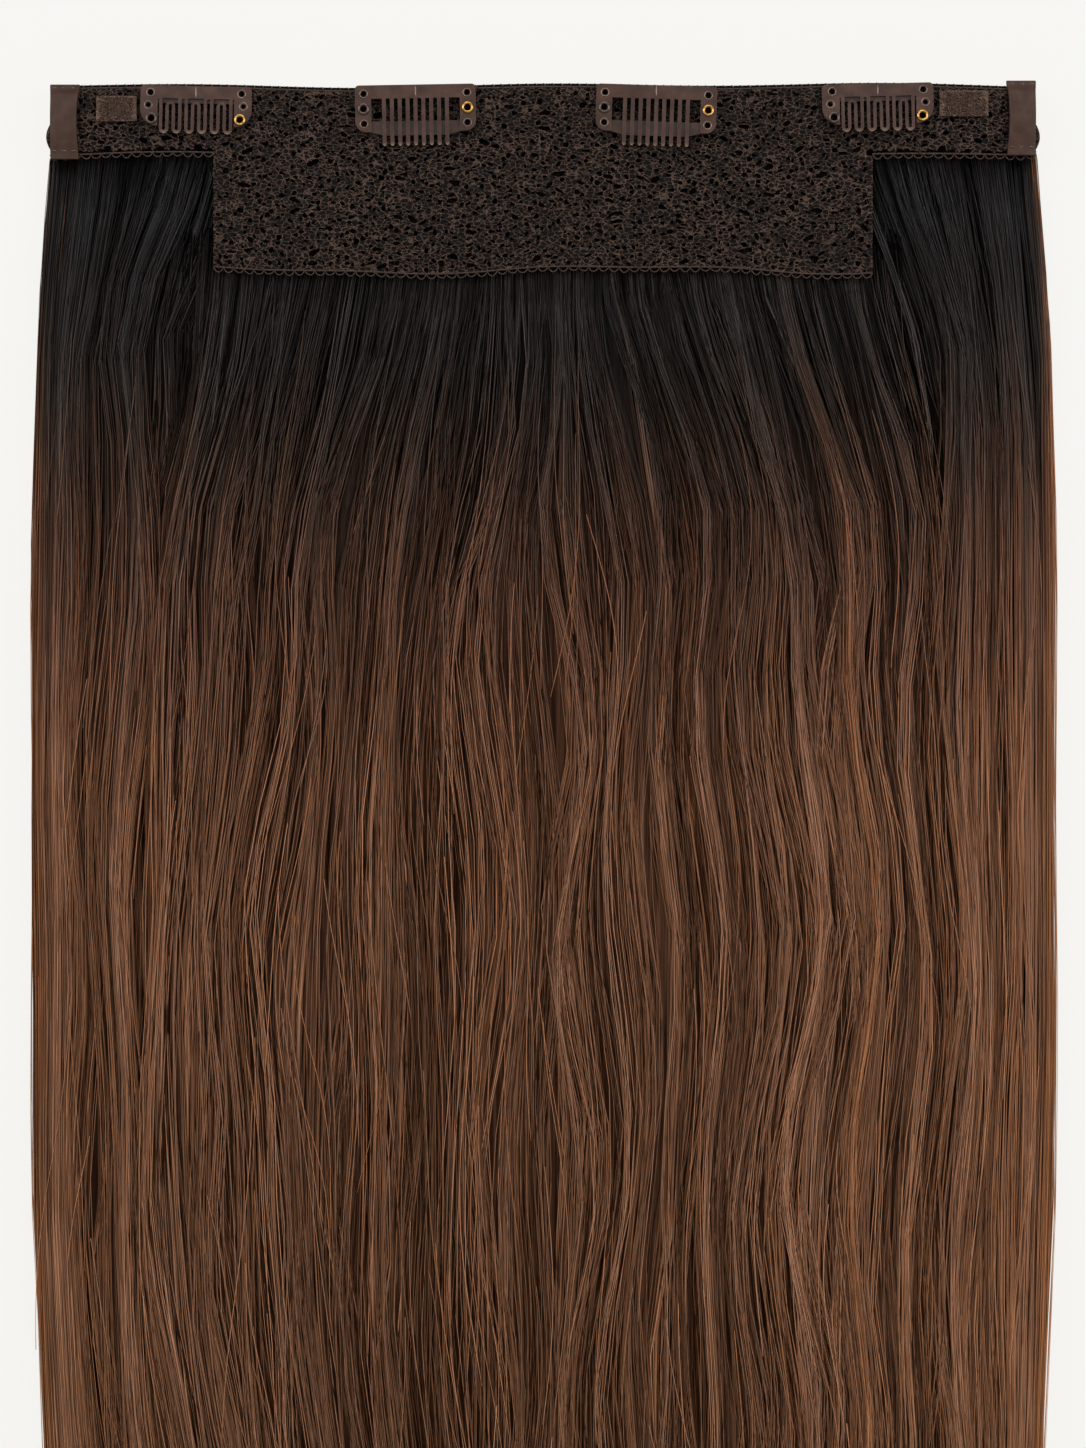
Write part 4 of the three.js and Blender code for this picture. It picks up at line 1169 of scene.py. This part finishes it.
def lacquered(name, stops, tips=None):
    """Brown lacquer on steel: satin and faintly clouded, with a thin clear coat over it. Where a middle
    x and y, a turn and a reach are given for tips, the tips of the teeth at that reach get a painted
    highlight, lighter towards their ends."""
    material, tree, shader = new_material(
        name, Metallic=0.2, Specular_IOR_Level=0.3, Coat_Weight=1.0, Coat_Roughness=0.1)
    place = add_node(tree, "ShaderNodeTexCoord")
    cloudy = add_node(tree, "ShaderNodeTexNoise", [(place.outputs["Object"], "Vector")],
                      Scale=1 / (4 * MM), Detail=4)
    colour = add_node(tree, "ShaderNodeValToRGB", [(cloudy.outputs["Fac"], "Fac")])
    fill_ramp(colour, stops)
    tree.links.new(colour.outputs["Color"], shader.inputs["Base Color"])
    # Painted highlight on the tips of the teeth, added to the lacquer's colour
    if tips:
        middle_x, middle_y, turn, reach = tips
        on_clip = add_node(tree, "ShaderNodeMapping", [(place.outputs["Object"], "Vector")],
                           vector_type="TEXTURE", Location=(middle_x * MM, middle_y * MM, 0),
                           Rotation=(0, 0, math.radians(turn)))
        up_tooth = add_node(tree, "ShaderNodeSeparateXYZ", [(on_clip.outputs["Vector"], "Vector")])
        tip_share = add_node(tree, "ShaderNodeMapRange", [(up_tooth.outputs["Y"], "Value")],
                             From_Min=(TIP_HIGHLIGHT_LENGTH - reach) * MM, From_Max=-reach * MM)
        tip_highlight_colour = add_node(tree, "ShaderNodeValToRGB", [(tip_share.outputs["Result"], "Fac")])
        fill_ramp(tip_highlight_colour, [(0.0, "000000"), (0.6, "4d3f37"), (1.0, "a08979")])
        tip_highlighted = add_node(tree, "ShaderNodeVectorMath", operation="ADD", links=[
            (colour.outputs["Color"], 0), (tip_highlight_colour.outputs["Color"], 1)])
        tree.links.new(tip_highlighted.outputs["Vector"], shader.inputs["Base Color"])
    satin = add_node(tree, "ShaderNodeMapRange", [(cloudy.outputs["Fac"], "Value")],
                     To_Min=0.26, To_Max=0.42)
    tree.links.new(satin.outputs["Result"], shader.inputs["Roughness"])
    peel = add_node(tree, "ShaderNodeTexNoise", [(place.outputs["Object"], "Vector")],
                    Scale=1 / (0.9 * MM))
    peel_bump = add_node(tree, "ShaderNodeBump", [(peel.outputs["Fac"], "Height")],
                         Strength=0.12, Distance=0.1 * MM)
    tree.links.new(peel_bump.outputs["Normal"], shader.inputs["Normal"])
    return material


BROWN_STOPS = [(0.3, "351f17"), (0.5, "3f271d"), (0.7, "4b3126")]
lacquer = lacquered("brown_lacquered_steel", BROWN_STOPS)
# Painted shade: the frame lies under the comb plate, so its lacquer is the same brown made darker
SHADED_FRAME_STOPS = [(0.3, "2c1913"), (0.5, "362118"), (0.7, "422b21")]
shaded_frame_lacquer = lacquered("lacquered_steel_painted_shade", SHADED_FRAME_STOPS)
# Painted highlight: a lighter lacquer for the pressed hole rims and the crease, where they catch the
# light
HIGHLIGHT_STOPS = [(0.3, "54402f"), (0.5, "6a5244"), (0.7, "846a59")]
highlight_lacquer = lacquered("lacquered_steel_painted_highlight", HIGHLIGHT_STOPS)

# Polished brass of the eyelets, a little dulled in patches
brass, tree, shader = new_material("polished_brass", Metallic=1.0)
place = add_node(tree, "ShaderNodeTexCoord")
dulled = add_node(tree, "ShaderNodeTexNoise", [(place.outputs["Object"], "Vector")],
                  Scale=1 / (0.8 * MM), Detail=3)
brass_colour = add_node(tree, "ShaderNodeValToRGB", [(dulled.outputs["Fac"], "Fac")])
fill_ramp(brass_colour, [(0.3, "a8793a"), (0.7, "d7aa62")])
tree.links.new(brass_colour.outputs["Color"], shader.inputs["Base Color"])
shine = add_node(tree, "ShaderNodeMapRange", [(dulled.outputs["Fac"], "Value")], To_Min=0.2, To_Max=0.4)
tree.links.new(shine.outputs["Result"], shader.inputs["Roughness"])


def spun(name, profile, places, material, steps):
    """Closed rings spun from a profile of (radius, height) points, one at each place, as one piece."""
    bm = bmesh.new()
    for place in places:
        outline = [bm.verts.new(Vector((radius, 0, height)) * MM) for radius, height in profile]
        edges = [bm.edges.new((outline[n - 1], outline[n])) for n in range(len(outline))]
        bmesh.ops.spin(bm, geom=outline + edges, cent=(0, 0, 0), axis=(0, 0, 1), dvec=(0, 0, 0),
                       angle=2 * math.pi, steps=steps, use_merge=True)
        ring = {vertex for edge in edges for vertex in edge.verts}
        waiting = list(ring)
        while waiting:
            for edge in waiting.pop().link_edges:
                for vertex in edge.verts:
                    if vertex not in ring:
                        ring.add(vertex)
                        waiting.append(vertex)
        bmesh.ops.translate(bm, vec=place, verts=list(ring))
    bmesh.ops.recalc_face_normals(bm, faces=bm.faces[:])
    return piece_from(name, bm, material)


EYELET_PROFILE = [
    # radius, height above the comb plate's underside
    (0.84, 0.02), (0.98, 0.02), (0.98, 0.88), (1.72, 0.88), (1.8, 1.0), (1.75, 1.22), (1.56, 1.4),
    (1.32, 1.44), (1.1, 1.34), (0.94, 1.1),
]
RIM_PROFILE = [(1.02, 0.0), (1.34, 0.0), (1.3, 0.12), (1.18, 0.17), (1.04, 0.12)]

for number, middle_x, middle_y, turn, width, holes in CLIPS:
    top_body = f"clip_{number}_top"
    low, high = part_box(f"clip_{number}_comb")
    tips = (middle_x, middle_y, turn, middle_y - low.y / MM)
    comb_lacquer = lacquered(f"brown_lacquered_comb_{number}", BROWN_STOPS, tips)
    for part, material in [("frame", shaded_frame_lacquer), ("comb", comb_lacquer)]:
        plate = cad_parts[f"clip_{number}_{part}"]
        plate.material_slots[0].material = material
        plate.modifiers.new("joined_corners", "WELD").merge_threshold = CORNER_GAP * MM
        edges = plate.modifiers.new("soft_edges", "BEVEL")
        edges.width = PLATE_EDGE_RADIUS * MM
        edges.segments = PLATE_EDGE_STEPS
        edges.limit_method = "ANGLE"
        edges.angle_limit = math.radians(PLATE_EDGE_ANGLE)
        edges.harden_normals = True
    for part, material, slot in [("rivet", lacquer, "clip_steel"), ("eyelet", brass, "eyelet_brass")]:
        node = f"clip_{number}_{part}"
        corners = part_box(node)
        seat = (corners[0] + corners[1]) / 2
        seat.z = corners[0].z
        ring = spun(f"{node}_ring", EYELET_PROFILE, [seat], material, RING_STEPS)
        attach(ring, top_body)
        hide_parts(node)
    angle = math.radians(turn)
    # The pressed rims round the other holes, in the lacquer with a painted highlight
    rims = []
    for end in (-1, 1):
        for inset, y in holes:
            x = end * (width / 2 - inset)
            place_x = middle_x + x * math.cos(angle) - y * math.sin(angle)
            place_y = middle_y + x * math.sin(angle) + y * math.cos(angle)
            rims.append((place_x * MM, place_y * MM, high.z - HOLE_RIM_SINK * MM))
    rim = spun(f"clip_{number}_hole_rims", RIM_PROFILE, rims, highlight_lacquer, HOLE_RIM_STEPS)
    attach(rim, top_body)

    # A pressed crease stands up across the middle of the comb plate's spine, in lacquer with a painted
    # highlight
    radii = np.array(CREASE_TAPER) * CREASE_RADIUS * MM
    crease_x = np.full(len(radii), (low.x + high.x) / 2 / MM)
    crease_y = high.y / MM - np.linspace(CREASE_FROM, CREASE_TO, len(radii))
    crease_z = np.full(len(radii), high.z / MM - CREASE_SINK)
    path = np.stack([crease_x, crease_y, crease_z], axis=1) * MM
    tube = tubes(path[None], radii[None], CREASE_SIDES)
    crease = mesh_piece(f"clip_{number}_crease", *tube, highlight_lacquer)
    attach(crease, top_body)

low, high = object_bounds()
